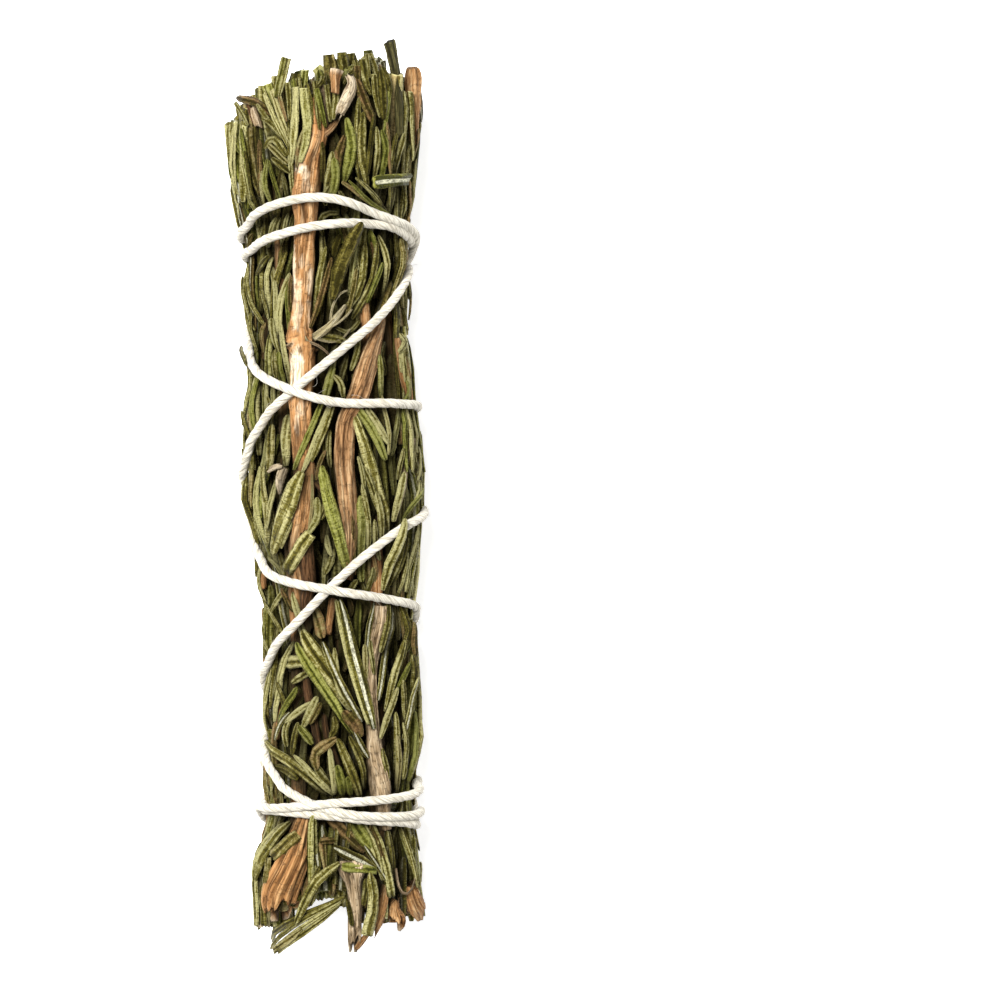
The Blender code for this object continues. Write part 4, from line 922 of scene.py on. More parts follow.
def leafMesh(leaf):
    form = leafForms[leaf["form"]]
    if "line" in leaf:
        centres, sides, normals = leaf["line"]
    else:
        middle = leaf["base"] + leaf["thickness"] * 0.45
        centres, sides, normals = framesAlong(leaf["s"], leaf["y"], middle, leaf["press"])
    share = form["share"]
    centre, side, normal = readAlong(share, centres, sides, normals)
    turn = np.radians(leaf["roll"] + (180 if leaf["flip"] else 0) + leaf.get("twist", 0) * (share - 0.5) * 2)
    uneven = 1 + 0.07 * np.sin(share * 17 + leaf.get("pinch", 0)) + 0.05 * np.sin(share * 31 - leaf.get("pinch", 0))
    across = form["across"] * leaf["width"] / 2 * uneven
    up = form["up"] * leaf["thickness"] * (2 - uneven)
    a = across * np.cos(turn) - up * np.sin(turn)
    b = across * np.sin(turn) + up * np.cos(turn)
    points = centre + side * a[:, None] + normal * b[:, None]
    points[:, 2] = np.maximum(points[:, 2], 0.02)
    return points * mm, form["faces"], form["corners"]


# painted shade: how deep a point must lie before it darkens, the depth of full shade, how far from the cut ends it
# fades in, and how much less the sides get
paintedCreviceShade = {"free": 0.35, "full": 2.2, "endLight": 7.0, "sides": 0.3}


def envelopeMap(tops):  # the height of the leaves round about each cell
    found = tops.copy()
    for i in range(-5, 6):
        for j in range(-2, 3):
            if math.hypot(i / 5, j / 2.4) <= 1:
                found = np.maximum(found, np.roll(np.roll(tops, i, 0), j, 1))
    for _ in range(3):
        around = [np.roll(found, step, axis) for step, axis in ((2, 0), (-2, 0), (1, 1), (-1, 1))]
        found = sum(around, found) / 5
    return found


def paintedShadeOf(points):  # how deep each point lies between its neighbours, from 0 open to 1 buried, which sets how dark its painted shade is
    x, y, z = (points / mm).T
    half, tall, middle = girthAt(y)
    ex, ez = (x - middle) / half, (z - tall) / tall
    turn = np.arctan2(ez, ex)
    turn = np.where(turn < -math.pi / 2, turn + 2 * math.pi, turn)
    ringTurn = np.unwrap(np.arctan2(ringZ, ringX))
    ringTurn += -math.pi / 2 - ringTurn[0]
    ringSize = np.hypot(ringX * halfWidth.mean(), ringZ * halfHeight.mean())
    edge = np.interp(turn, ringTurn, np.hypot(ringX, ringZ))
    out = (np.hypot(ex, ez) / edge - 1) * np.interp(turn, ringTurn, ringSize)
    s = np.interp(turn, ringTurn, ringS)
    buried = np.clip((envelope[cells(s, y)] - out - paintedCreviceShade["free"]) / paintedCreviceShade["full"], 0, 1)
    fromEnd = np.clip(np.minimum(cutAt(x, "topCut") - y, y - cutAt(x, "stemCut")) / paintedCreviceShade["endLight"], 0, 1)
    return buried * fromEnd ** 0.7 * (1 - paintedCreviceShade["sides"] * flank(s))


envelope = envelopeMap(leafTops)


# painted shade: each point's darkness from how deep it lies, stored for the materials
def addPaintedShade(mesh):
    layer = mesh.attributes.new("paintedCreviceShade", "FLOAT", "POINT")
    layer.data.foreach_set("value", paintedShadeOf(pointsOf(mesh)))


def buildMesh(name, parts, tints, material):
    points, faces, corners, colours = [], [], [], []
    start = 0
    for (partPoints, partFaces, partCorners), tint in zip(parts, tints):
        points.append(partPoints)
        faces += [tuple(i + start for i in face) for face in partFaces]
        corners.append(partCorners)
        colours.append(np.tile(tint, (len(partPoints), 1)))
        start += len(partPoints)
    mesh = bpy.data.meshes.new(name)
    mesh.from_pydata(np.concatenate(points).tolist(), [], faces)
    layer = mesh.uv_layers.new(name="leafMap")
    layer.data.foreach_set("uv", np.concatenate(corners).ravel())
    tintLayer = mesh.color_attributes.new("tint", "FLOAT_COLOR", "POINT")
    tintLayer.data.foreach_set("color", np.concatenate(colours).ravel())
    addPaintedShade(mesh)
    mesh.shade_smooth()
    mesh.materials.append(material)
    obj = bpy.data.objects.new(name, mesh)
    bpy.context.scene.collection.objects.link(obj)
    return obj


# Shared shader effects

def newGroup(name, inputs, outputs):
    group = bpy.data.node_groups.new(name, "ShaderNodeTree")
    for label, kind, value in inputs:
        made = group.interface.new_socket(label, in_out="INPUT", socket_type=kind)
        if value is not None:
            made.default_value = value
    for label, kind in outputs:
        group.interface.new_socket(label, in_out="OUTPUT", socket_type=kind)
    return group, group.nodes.new("NodeGroupInput"), group.nodes.new("NodeGroupOutput")


def newNode(tree, kind, links=(), **settings):
    made = tree.nodes.new(kind)
    for key, value in settings.items():
        setattr(made, key, value)
    for socket, source in links:
        target = made.inputs[socket]
        if hasattr(source, "is_output"):
            tree.links.new(source, target)
        else:
            target.default_value = source
    return made


def reckon(tree, kind, *values):  # one Math node
    return newNode(tree, "ShaderNodeMath", enumerate(values), operation=kind).outputs[0]


def mixColour(tree, share, a, b):
    made = newNode(tree, "ShaderNodeMix", data_type="RGBA")
    for socket, source in ((0, share), (6, a), (7, b)):
        if hasattr(source, "is_output"):
            tree.links.new(source, made.inputs[socket])
        else:
            made.inputs[socket].default_value = source if socket == 0 else (*source, 1)
    return made.outputs[2]


def ranged(tree, value, low, high, toLow=0.0, toHigh=1.0):
    ends = [("Value", value), ("From Min", low), ("From Max", high), ("To Min", toLow), ("To Max", toHigh)]
    return newNode(tree, "ShaderNodeMapRange", ends, interpolation_type="SMOOTHSTEP").outputs["Result"]


def ownMap(tree):
    return newNode(tree, "ShaderNodeUVMap", uv_map="leafMap").outputs[0]


def weighted(tree, *pairs):  # the sum of values, each times its share
    total = None
    for value, share in reversed(pairs):
        part = reckon(tree, "MULTIPLY", value, share)
        total = part if total is None else reckon(tree, "ADD", part, total)
    return total


def uvAndTint(tree):  # the piece's own map, and its tint's three channels and alpha
    tint = newNode(tree, "ShaderNodeAttribute", attribute_name="tint")
    channels = newNode(tree, "ShaderNodeSeparateColor", [(0, tint.outputs["Color"])]).outputs
    return ownMap(tree), *channels, tint.outputs["Alpha"]


def makeFibreGroup():  # noise drawn out along v: leaf grain, bark fibre and cotton ply
    group, given, result = newGroup("drawnOutGrain", [("Map", "NodeSocketVector", None),
        ("Seed", "NodeSocketFloat", 0.0), ("Across", "NodeSocketFloat", 6.0), ("Along", "NodeSocketFloat", 4.0),
        ("Detail", "NodeSocketFloat", 3.0)], [("Grain", "NodeSocketFloat")])
    parts = newNode(group, "ShaderNodeSeparateXYZ", [(0, given.outputs["Map"])])
    turn = reckon(group, "MULTIPLY", parts.outputs[0], 2 * math.pi)
    roundX = reckon(group, "MULTIPLY", reckon(group, "COSINE", turn), given.outputs["Across"])
    roundY = reckon(group, "MULTIPLY", reckon(group, "SINE", turn), given.outputs["Across"])
    length = reckon(group, "ADD", reckon(group, "MULTIPLY", parts.outputs[1], given.outputs["Along"]),
        reckon(group, "MULTIPLY", given.outputs["Seed"], 61.0))
    place = newNode(group, "ShaderNodeCombineXYZ", [(0, roundX), (1, roundY), (2, length)])
    grain = newNode(group, "ShaderNodeTexNoise", [("Vector", place.outputs[0]), ("Scale", 1.0),
        ("Detail", given.outputs["Detail"]), ("Roughness", 0.6)])
    group.links.new(grain.outputs[0], result.inputs[0])
    return group


def makePaintedShadeGroup():  # painted shade: darkens what lies deep between the leaves
    group, given, result = newGroup("darkenDeep", [("Colour", "NodeSocketColor", None)],
        [("Colour", "NodeSocketColor")])
    depth = newNode(group, "ShaderNodeAttribute", attribute_name="paintedCreviceShade").outputs["Fac"]
    share = ranged(group, depth, 0.0, 0.85, 0.0, 0.94)
    # the near black of the painted shade
    shadedColour = mixColour(group, share, given.outputs["Colour"], (0.010, 0.008, 0.002))
    group.links.new(shadedColour, result.inputs[0])
    return group


fibreGroup = makeFibreGroup()
paintedShadeGroup = makePaintedShadeGroup()


def withPaintedShade(tree, colour):
    return newNode(tree, "ShaderNodeGroup", [("Colour", colour)], node_tree=paintedShadeGroup).outputs[0]


def useGrain(tree, uv, seed, across, along, detail=3.0):
    given = [("Map", uv), ("Seed", seed), ("Across", across), ("Along", along), ("Detail", detail)]
    return newNode(tree, "ShaderNodeGroup", given, node_tree=fibreGroup).outputs[0]


def addBump(tree, shader, height, strength, distance):
    bump = newNode(tree, "ShaderNodeBump", [("Height", height), ("Strength", strength), ("Distance", distance)])
    tree.links.new(bump.outputs[0], shader.inputs["Normal"])


leafLook = {
    "dark": (0.024, 0.02, 0.002), "middle": (0.13, 0.11, 0.018), "light": (0.45, 0.415, 0.185),
    "brown": (0.27, 0.165, 0.065), "brownDark": (0.04, 0.021, 0.006),
    "fresh": (0.20, 0.215, 0.028), "freshDark": (0.032, 0.042, 0.003),
    "felt": (0.72, 0.70, 0.50), "feltShade": 0.45,  # the pale underside
    "roughness": (0.4, 0.64), "bump": 0.00055,
    "gloss": {"Specular IOR Level": 0.24, "Specular Tint": (1.0, 0.88, 0.45, 1)},
}


def makeLeafMaterial():
    look, tree, shader = newMaterial("driedLeaf", **leafLook["gloss"])
    uv, bright, hue, seed, extra = uvAndTint(tree)
    around = reckon(tree, "FRACT", newNode(tree, "ShaderNodeSeparateXYZ", [(0, uv)]).outputs[0])
    coarse = useGrain(tree, uv, seed, 0.5, 5.0, 2.0)
    streak = useGrain(tree, uv, seed, 2.6, 3.0, 4.0)
    speck = useGrain(tree, uv, seed, 2.6, 42.0, 3.0)
    wrinkle = useGrain(tree, uv, seed, 0.6, 70.0, 2.0)
    fromTop = reckon(tree, "ABSOLUTE", reckon(tree, "SUBTRACT", around, 0.5))
    # painted highlight: a light band along each crest of the upper side
    paintedCrestHighlight = reckon(tree, "MULTIPLY", ranged(tree, fromTop, 0.05, 0.12), ranged(tree, fromTop, 0.24, 0.15))
    # painted shade: darker along the groove down the middle of the upper side
    paintedFurrowShade = reckon(tree, "MULTIPLY", ranged(tree, fromTop, 0.07, 0.01), ranged(tree, extra, 0.1, 0.9, 0.2, 1))
    # painted shade: darker below the leaf's edge, on the side turned from the light
    below = ranged(tree, fromTop, 0.29, 0.34)
    # painted highlight: a light line along the rolled rim
    paintedRimHighlight = reckon(tree, "MULTIPLY", ranged(tree, fromTop, 0.225, 0.245), ranged(tree, fromTop, 0.28, 0.26))
    level = bright
    for source, middle, share in ((coarse, 0.5, 1.3), (streak, 0.5, 1.75), (speck, 0.5, 0.9), (wrinkle, 0.5, 0.95),
            (paintedCrestHighlight, 0.4, 0.34), (paintedFurrowShade, 0.1, -0.4), (below, 0.0, -0.34), (paintedRimHighlight, 0.1, 0.46)):
        level = reckon(tree, "ADD", level, reckon(tree, "MULTIPLY", reckon(tree, "SUBTRACT", source, middle), share))
    colour = mixColour(tree, ranged(tree, level, 0.0, 0.5), leafLook["dark"], leafLook["middle"])
    colour = mixColour(tree, ranged(tree, level, 0.5, 1.05), colour, leafLook["light"])
    colour = mixColour(tree, ranged(tree, hue, 0.55, 1.0, 0, 0.7), colour,
        mixColour(tree, ranged(tree, level, 0.1, 0.9), leafLook["freshDark"], leafLook["fresh"]))
    colour = mixColour(tree, reckon(tree, "MULTIPLY", ranged(tree, hue, 0.3, 0.02),
        ranged(tree, coarse, 0.35, 0.6, 0.25, 1)), colour,
                       mixColour(tree, ranged(tree, level, 0.1, 0.9), leafLook["brownDark"], leafLook["brown"]))
    felt = reckon(tree, "MULTIPLY", ranged(tree, fromTop, 0.42, 0.46), ranged(tree, extra, 0.25, 0.5, 0.35, 0.95))
    feltColour = mixColour(tree, ranged(tree, speck, 0.40, 0.62),
        tuple(c * leafLook["feltShade"] for c in leafLook["felt"]), leafLook["felt"])
    colour = mixColour(tree, felt, colour, feltColour)
    colour = mixColour(tree, ranged(tree, speck, 0.42, 0.34, 0, 0.6), colour, tuple(c * 0.5 for c in leafLook["dark"]))
    colour = withPaintedShade(tree, colour)
    tree.links.new(colour, shader.inputs["Base Color"])
    addBump(tree, shader, weighted(tree, (wrinkle, 1.0), (speck, 0.5), (streak, 0.9)), 1.0, leafLook["bump"])
    tree.links.new(ranged(tree, speck, 0.3, 0.7, *leafLook["roughness"]), shader.inputs["Roughness"])
    return look


barkLooks = {  # grain and cracks: how closely they lie across, and how short they are along
    "bark": {"dark": (0.14, 0.058, 0.018), "middle": (0.375, 0.185, 0.068), "light": (0.58, 0.375, 0.195),
        "grain": (3.2, 0.9), "cracks": (2.8, 1.0)},
    "oldBark": {"dark": (0.09, 0.038, 0.013), "middle": (0.32, 0.17, 0.072), "light": (0.54, 0.36, 0.19),
        "grain": (3.6, 0.9), "cracks": (3.4, 1.0)},
    "splitWood": {"dark": (0.10, 0.038, 0.01), "middle": (0.34, 0.165, 0.058), "light": (0.56, 0.345, 0.155),
        "grain": (5.0, 1.0), "cracks": (5.5, 0.9)},
    "tornWood": {"dark": (0.10, 0.04, 0.012), "middle": (0.33, 0.165, 0.06), "light": (0.58, 0.37, 0.18),
        "grain": (4.0, 1.6), "cracks": (4.0, 1.8)},
    "peeled": {"dark": (0.15, 0.09, 0.045), "middle": (0.44, 0.35, 0.225), "light": (0.72, 0.62, 0.45),
        "grain": (1.6, 3.0), "cracks": (1.8, 3.6)},
    "greenStraw": {"dark": (0.07, 0.06, 0.02), "middle": (0.25, 0.22, 0.095), "light": (0.54, 0.49, 0.29),
        "grain": (2.2, 1.6), "cracks": (2.6, 1.6)},
    "paleBark": {"dark": (0.075, 0.045, 0.02), "middle": (0.29, 0.205, 0.115), "light": (0.55, 0.43, 0.28),
        "grain": (2.6, 1.8), "cracks": (3.0, 2.4)},
    "straw": {"dark": (0.14, 0.105, 0.045), "middle": (0.44, 0.37, 0.20), "light": (0.72, 0.65, 0.45),
        "grain": (2.4, 1.6), "cracks": (2.6, 2.6)},
    "darkTwig": {"dark": (0.014, 0.006, 0.002), "middle": (0.065, 0.028, 0.01), "light": (0.17, 0.085, 0.038),
        "grain": (2.6, 1.8), "cracks": (3.0, 2.4)},
    "greenTwig": {"dark": (0.014, 0.013, 0.004), "middle": (0.058, 0.052, 0.016), "light": (0.16, 0.14, 0.055),
        "grain": (2.2, 1.6), "cracks": (2.6, 2.0)},
}


def makeBarkMaterial(name):
    values = barkLooks[name]
    gloss = {"Roughness": 0.72, "Specular IOR Level": 0.2, "Specular Tint": (1.0, 0.85, 0.6, 1)}
    look, tree, shader = newMaterial(name, **gloss)
    uv, bare, paintedGrooveShade, seed, _ = uvAndTint(tree)
    fibre = useGrain(tree, uv, seed, *values["grain"], 5.0)
    coarse = useGrain(tree, uv, seed, 0.7, 1.7, 3.0)
    fine = useGrain(tree, uv, seed, 7.0, 6.0, 4.0)
    level = weighted(tree, (fibre, 0.5), (coarse, 0.3), (fine, 0.3))
    colour = mixColour(tree, ranged(tree, level, 0.42, 0.55), values["dark"], values["middle"])
    colour = mixColour(tree, ranged(tree, level, 0.53, 0.68), colour, values["light"])
    crack = useGrain(tree, uv, reckon(tree, "ADD", seed, 0.37), *values["cracks"], 2.0)
    line = reckon(tree, "ABSOLUTE", reckon(tree, "SUBTRACT", crack, 0.5))
    cross = useGrain(tree, uv, reckon(tree, "ADD", seed, 0.71), 0.8, 16.0, 3.0)
    crossLine = ranged(tree, reckon(tree, "ABSOLUTE", reckon(tree, "SUBTRACT", cross, 0.6)), 0.012, 0.004, 0, 0.7)
    crackLine = reckon(tree, "MAXIMUM", ranged(tree, line, 0.02, 0.006), crossLine)
    colour = mixColour(tree, reckon(tree, "MULTIPLY", crackLine, 0.72), colour, tuple(c * 0.45 for c in values["dark"]))
    colour = mixColour(tree, bare, colour, mixColour(tree, ranged(tree, fine, 0.35, 0.6), (0.48, 0.35, 0.21),
        (0.80, 0.68, 0.49)))
    # painted shade: darker in the grooves, the turned-in hollows and round the bare patches
    colour = mixColour(tree, reckon(tree, "MULTIPLY", paintedGrooveShade, 0.85), colour, tuple(c * 0.4 for c in values["dark"]))
    tree.links.new(withPaintedShade(tree, colour), shader.inputs["Base Color"])
    addBump(tree, shader, weighted(tree, (fibre, 1.0), (fine, 0.6), (crackLine, -0.4)), 1.0, 0.0004)
    return look


def makeStringMaterial():
    gloss = {"Roughness": 0.92, "Specular IOR Level": 0.15, "Sheen Weight": 0.25}
    look, tree, shader = newMaterial("cottonString", **gloss)
    uv = ownMap(tree)
    fine = useGrain(tree, uv, 0.0, 3.6, 9.0, 4.0)
    soil = useGrain(tree, uv, 0.3, 0.6, 1.2, 3.0)
    across = newNode(tree, "ShaderNodeSeparateXYZ", [(0, uv)]).outputs[0]
    ply = reckon(tree, "ABSOLUTE", reckon(tree, "COSINE", reckon(tree, "MULTIPLY", across, 3 * math.pi)))
    # painted shade: darker in the grooves between the plies
    between = ranged(tree, ply, 0.5, 0.05)
    colour = mixColour(tree, ranged(tree, fine, 0.33, 0.6), (0.30, 0.27, 0.20), (0.66, 0.62, 0.52))
    colour = mixColour(tree, ranged(tree, soil, 0.55, 0.8, 0, 0.35), colour, (0.48, 0.42, 0.30))
    colour = mixColour(tree, reckon(tree, "MULTIPLY", between, 0.45), colour, (0.34, 0.30, 0.23))
    tree.links.new(colour, shader.inputs["Base Color"])
    addBump(tree, shader, weighted(tree, (fine, 1.0), (between, -0.4)), 0.9, 0.0002)
    return look


leafMaterial = makeLeafMaterial()
barkMaterials = {name: makeBarkMaterial(name) for name in barkLooks}
stringMaterial = makeStringMaterial()


# Leaves grouped by the sprig that they grow on

def middleOf(node):
    low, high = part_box(node)
    return (low[0] + high[0]) / 2 / mm, (low[2] + high[2]) / 2 / mm


sprigs = [f"sprig_{i:02d}" for i in range(1, 13)]
sprigMiddles = [middleOf(sprig) for sprig in sprigs]


def nearestSprig(x, z):
    return min(range(len(sprigs)), key=lambda i: math.hypot(sprigMiddles[i][0] - x, sprigMiddles[i][1] - z))


def homeSprig(leaf):
    spot = leaf["line"][0][4] if "line" in leaf else onSkin(*(leaf[key][4:5] for key in ("s", "y", "base")))[0][0]
    return nearestSprig(spot[0], spot[2])


def finishPiece(piece, slot, *nodes):
    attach(piece, "root")
    if nodes:
        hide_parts(*nodes)


growth = {"pitch": 4.6, "round": 6, "length": (13, 2), "width": (1.7, 0.2), "spread": 17, "stem": 0.95}


def sprigCentres(name):  # where the sprig's solid runs, from its own points
    points = pointsOf(bpy.data.objects[name].data) / mm
    low, high = points[:, 1].min(), points[:, 1].max()
    ys = np.linspace(low, high, 9)
    line = []
    for y in ys:
        near = points[np.abs(points[:, 1] - y) < (high - low) / 10]
        line.append(near[:, (0, 2)].mean(0) if len(near) else points[:, (0, 2)].mean(0))
    return ys, np.array(line)


def straightLeaf(start, direction, length, width, outward):  # a leaf inside the bundle, given in space
    t = np.linspace(0, 1, leafSteps)
    direction = direction / np.linalg.norm(direction)
    curl = outward * (length * 0.08) * (t ** 2)[:, None]
    centres = start + direction * (length * t)[:, None] + curl
    tangents = unit(np.gradient(centres, axis=0))
    normals = unit(outward - tangents * (tangents @ outward)[:, None])
    return {"line": (centres, np.cross(normals, tangents), normals), "width": width, "thickness": width * 0.6,
            "roll": 0, "flip": False, "form": "whole",
            "tint": (draw.gauss(0.42, 0.2), draw.random(), draw.random(), draw.random())}


def growLeaves(name):  # whorls of leaves along the sprig's twig
    ys, line = sprigCentres(name)
    made = []
    for whorl in range(int((ys[-1] - ys[0] - 12) / growth["pitch"])):
        y = ys[0] + 2 + whorl * growth["pitch"]
        middle = np.array([np.interp(y, ys, line[:, 0]), y, np.interp(y, ys, line[:, 1])])
        for turn in range(growth["round"]):
            angle = 2 * math.pi * (turn + 0.5 * (whorl % 2) + draw.uniform(-0.2, 0.2)) / growth["round"]
            outward = np.array([math.cos(angle), 0, math.sin(angle)])
            spread = math.radians(draw.gauss(growth["spread"], 4))
            direction = outward * math.sin(spread) + np.array([0, math.cos(spread), 0])
            length, width = draw.gauss(*growth["length"]), draw.gauss(*growth["width"])
            made.append(straightLeaf(middle + outward * 0.7, direction, length, width, outward))
    return made


endFill = {"spacing": 1.42, "width": (1.4, 2.1), "reach": 11, "uneven": 1.5, "inset": 1.5}


def fillEnd(tip):  # leaves packed side by side behind the trimmed end
    made = []
    cut = "topCut" if tip else "stemCut"
    rows = int(30 / endFill["spacing"])
    for i in range(-rows, rows):
        for j in range(-rows, rows):
            x = (i + 0.5 * (j % 2)) * endFill["spacing"] + draw.gauss(0, 0.15)
            z = j * endFill["spacing"] * 0.87 + draw.gauss(0, 0.15)
            edge = cutAt(x, cut)
            half, tall, middle = girthAt(edge)
            x += middle
            if (x - middle) ** 2 / (half - endFill["inset"]) ** 2 + z ** 2 / (tall - endFill["inset"]) ** 2 > 1:
                continue
            edge = cutAt(x, cut) + (-1 if tip else 1) * abs(draw.gauss(0, endFill["uneven"]))
            length = draw.uniform(0.7, 1.2) * endFill["reach"]
            lean = np.array([draw.gauss(0, 0.05), 1, draw.gauss(0, 0.05)])
            start = np.array([x, edge - (length if tip else 0), z + tall])
            turn = draw.uniform(0, 2 * math.pi)
            width = draw.uniform(*endFill["width"])
            leaf = straightLeaf(start, lean, length, width, np.array([math.cos(turn), 0, math.sin(turn)]))
            leaf["form"] = draw.choice(("tipCut", "tipCut", "whole") if tip else ("baseCut", "baseCut", "whole"))
            made.append(leaf)
    return made


def insideSkin(leaf):  # true where the whole leaf stays under the outer layer
    centres = leaf["line"][0]
    half, tall, middle = girthAt(centres[:, 1])
    across, up = (centres[:, 0] - middle) / (half - 1.6), (centres[:, 2] - tall) / (tall - 1.6)
    belowTip = centres[-1, 1] < cutAt(centres[-1, 0], "topCut") + 0.5
    aboveFoot = centres[0, 1] > cutAt(centres[0, 0], "stemCut") - 0.5
    return (across ** 2 + up ** 2 < 1).all() and belowTip and aboveFoot


groups = [[] for _ in sprigs]
for leaf in leaves + fillEnd(True) + fillEnd(False):
    groups[homeSprig(leaf)].append(leaf)
for sprig, group in zip(sprigs, groups):
    group += [leaf for leaf in growLeaves(sprig) if insideSkin(leaf)]
    shapes, tints = [leafMesh(leaf) for leaf in group], [leaf["tint"] for leaf in group]
    piece = buildMesh(sprig + "_leaves", shapes, tints, leafMaterial)
    finishPiece(piece, "leaf", sprig)
print("leaves in all", sum(len(group) for group in groups))


# Tubes for the twigs and the string, rolled from a grid

def rolledTube(name, rings, sides, place, length, marks=None, twist=0.0):
    bpy.ops.object.select_all(action="DESELECT")
    bpy.ops.mesh.primitive_grid_add(x_subdivisions=sides, y_subdivisions=rings - 1, size=1, calc_uvs=True)
    tube = bpy.context.object
    tube.name = name
    mesh = tube.data
    flat = pointsOf(mesh)
    points = place(flat[:, 0] + 0.5, flat[:, 1] + 0.5)
    mesh.vertices.foreach_set("co", points.ravel())
    if marks is not None:
        seed = sum(ord(c) for c in name) * 0.37 % 1
        tint = mesh.color_attributes.new("tint", "FLOAT_COLOR", "POINT")
        colours = np.column_stack([marks[0], np.full(len(points), seed), np.ones(len(points))])
        tint.data.foreach_set("color", colours.ravel())
    mesh.uv_layers[0].name = "leafMap"
    spots = np.empty(len(mesh.loops) * 2)
    mesh.uv_layers[0].data.foreach_get("uv", spots)
    spots = spots.reshape(-1, 2)
    spots[:, 1] *= length / 10  # centimetres along
    spots[:, 0] -= spots[:, 1] * twist
    mesh.uv_layers[0].data.foreach_set("uv", spots.ravel())
    bpy.ops.object.mode_set(mode="EDIT")
    bpy.ops.mesh.select_all(action="SELECT")
    bpy.ops.mesh.remove_doubles(threshold=0.000001)
    bpy.ops.mesh.select_all(action="DESELECT")
    bpy.ops.mesh.select_non_manifold()
    bpy.ops.mesh.fill_holes(sides=0)
    bpy.ops.mesh.select_all(action="SELECT")
    bpy.ops.mesh.normals_make_consistent(inside=False)
    if bmesh.from_edit_mesh(mesh).calc_volume(signed=True) < 0:
        bpy.ops.mesh.flip_normals()
    bpy.ops.object.mode_set(mode="OBJECT")
    bpy.ops.object.shade_smooth()
    return tube


def withLook(tube, material):
    tube.data.materials.append(material)
    addPaintedShade(tube.data)
    return tube


peel = {  # x, y, half width, half length, how bare
    "patches": [(-3.7, 44.7, 0.82, 0.68, 0.85), (-3.1, 43.9, 0.55, 0.96, 0.6), (-4.6, 17.6, 1.23, 3.14, 1),
        (-2.5, 29.4, 0.55, 2.73, 0.55), (-5, 31.9, 0.3, 3.28, 0.8), (-4.5, 26.2, 0.82, 3.28, 0.5),
        (-3.9, 32.1, 0.41, 1.09, 0.35), (-2.7, 25.3, 0.41, 1.91, 0.3), (-4, 11.8, 0.68, 1.37, 0.4),
        (-3.1, 42.3, 0.82, 0.68, 0.25), (-4.4, 9.8, 0.41, 1.37, 0.6)],
    "thickness": 0.13,
}


def peeled(points, upwards):  # where the bark has come off the main twig, and the edges of those places
    bare, edge = np.zeros(len(points)), np.zeros(len(points))
    ragged = np.array([noise.noise(Vector((p[0] * 1.7, p[1] * 1.1, 3.3))) for p in points])
    for x, y, wide, long, strength in peel["patches"]:
        share = 1.1 - np.hypot((points[:, 0] - x) / wide, (points[:, 1] - y) / long) + 0.6 * ragged
        share = np.clip(share * 5, 0, 1) * (upwards > 0)
        bare = np.maximum(bare, strength * share)
        edge = np.maximum(edge, np.clip(1 - np.abs(share - 0.3) / 0.3, 0, 1) * 0.6)
    return bare, edge


# How ragged the ends are in mm, the share of the tube that turns in as a hollow, and bare wood at either end in mm
twigEnds = {
    "jag": {"split_twig": 3.4, "foot_twig_a": 2.6, "foot_twig_b": 2.4, "foot_twig_c": 3.0, "pale_twig": 1.8,
        "stub_twig": 0.3, "corner_twig": 0.5, "torn_twig": 1.6, "under_twig": 1.6, "gap_twig_a": 1.2, "gap_twig_c": 1.2,
        "left_twig": 0.8, "top_twig_a": 0.8, "top_twig_b": 0.6, "flake": 1.4, "chip_a": 0.8, "chip_b": 0.8,
        "tall_twig": 1.0, "side_shoot": 0.8},
    "cup": {"split_twig": 0.07, "foot_twig_a": 0.12, "foot_twig_b": 0.12, "pale_twig": 0.05},
    "bare": {"stub_twig": (0, 0.7), "foot_twig_a": (0.5, 0), "foot_twig_b": (0.4, 0), "pale_twig": (1.2, 0),
        "left_foot": (0.7, 0), "left_foot_b": (0.6, 0), "split_twig": (0.5, 0)},
}


knot = {"y": 20.6, "reach": 1.4, "relief": 0.4}  # where the side shoot grew from the main twig


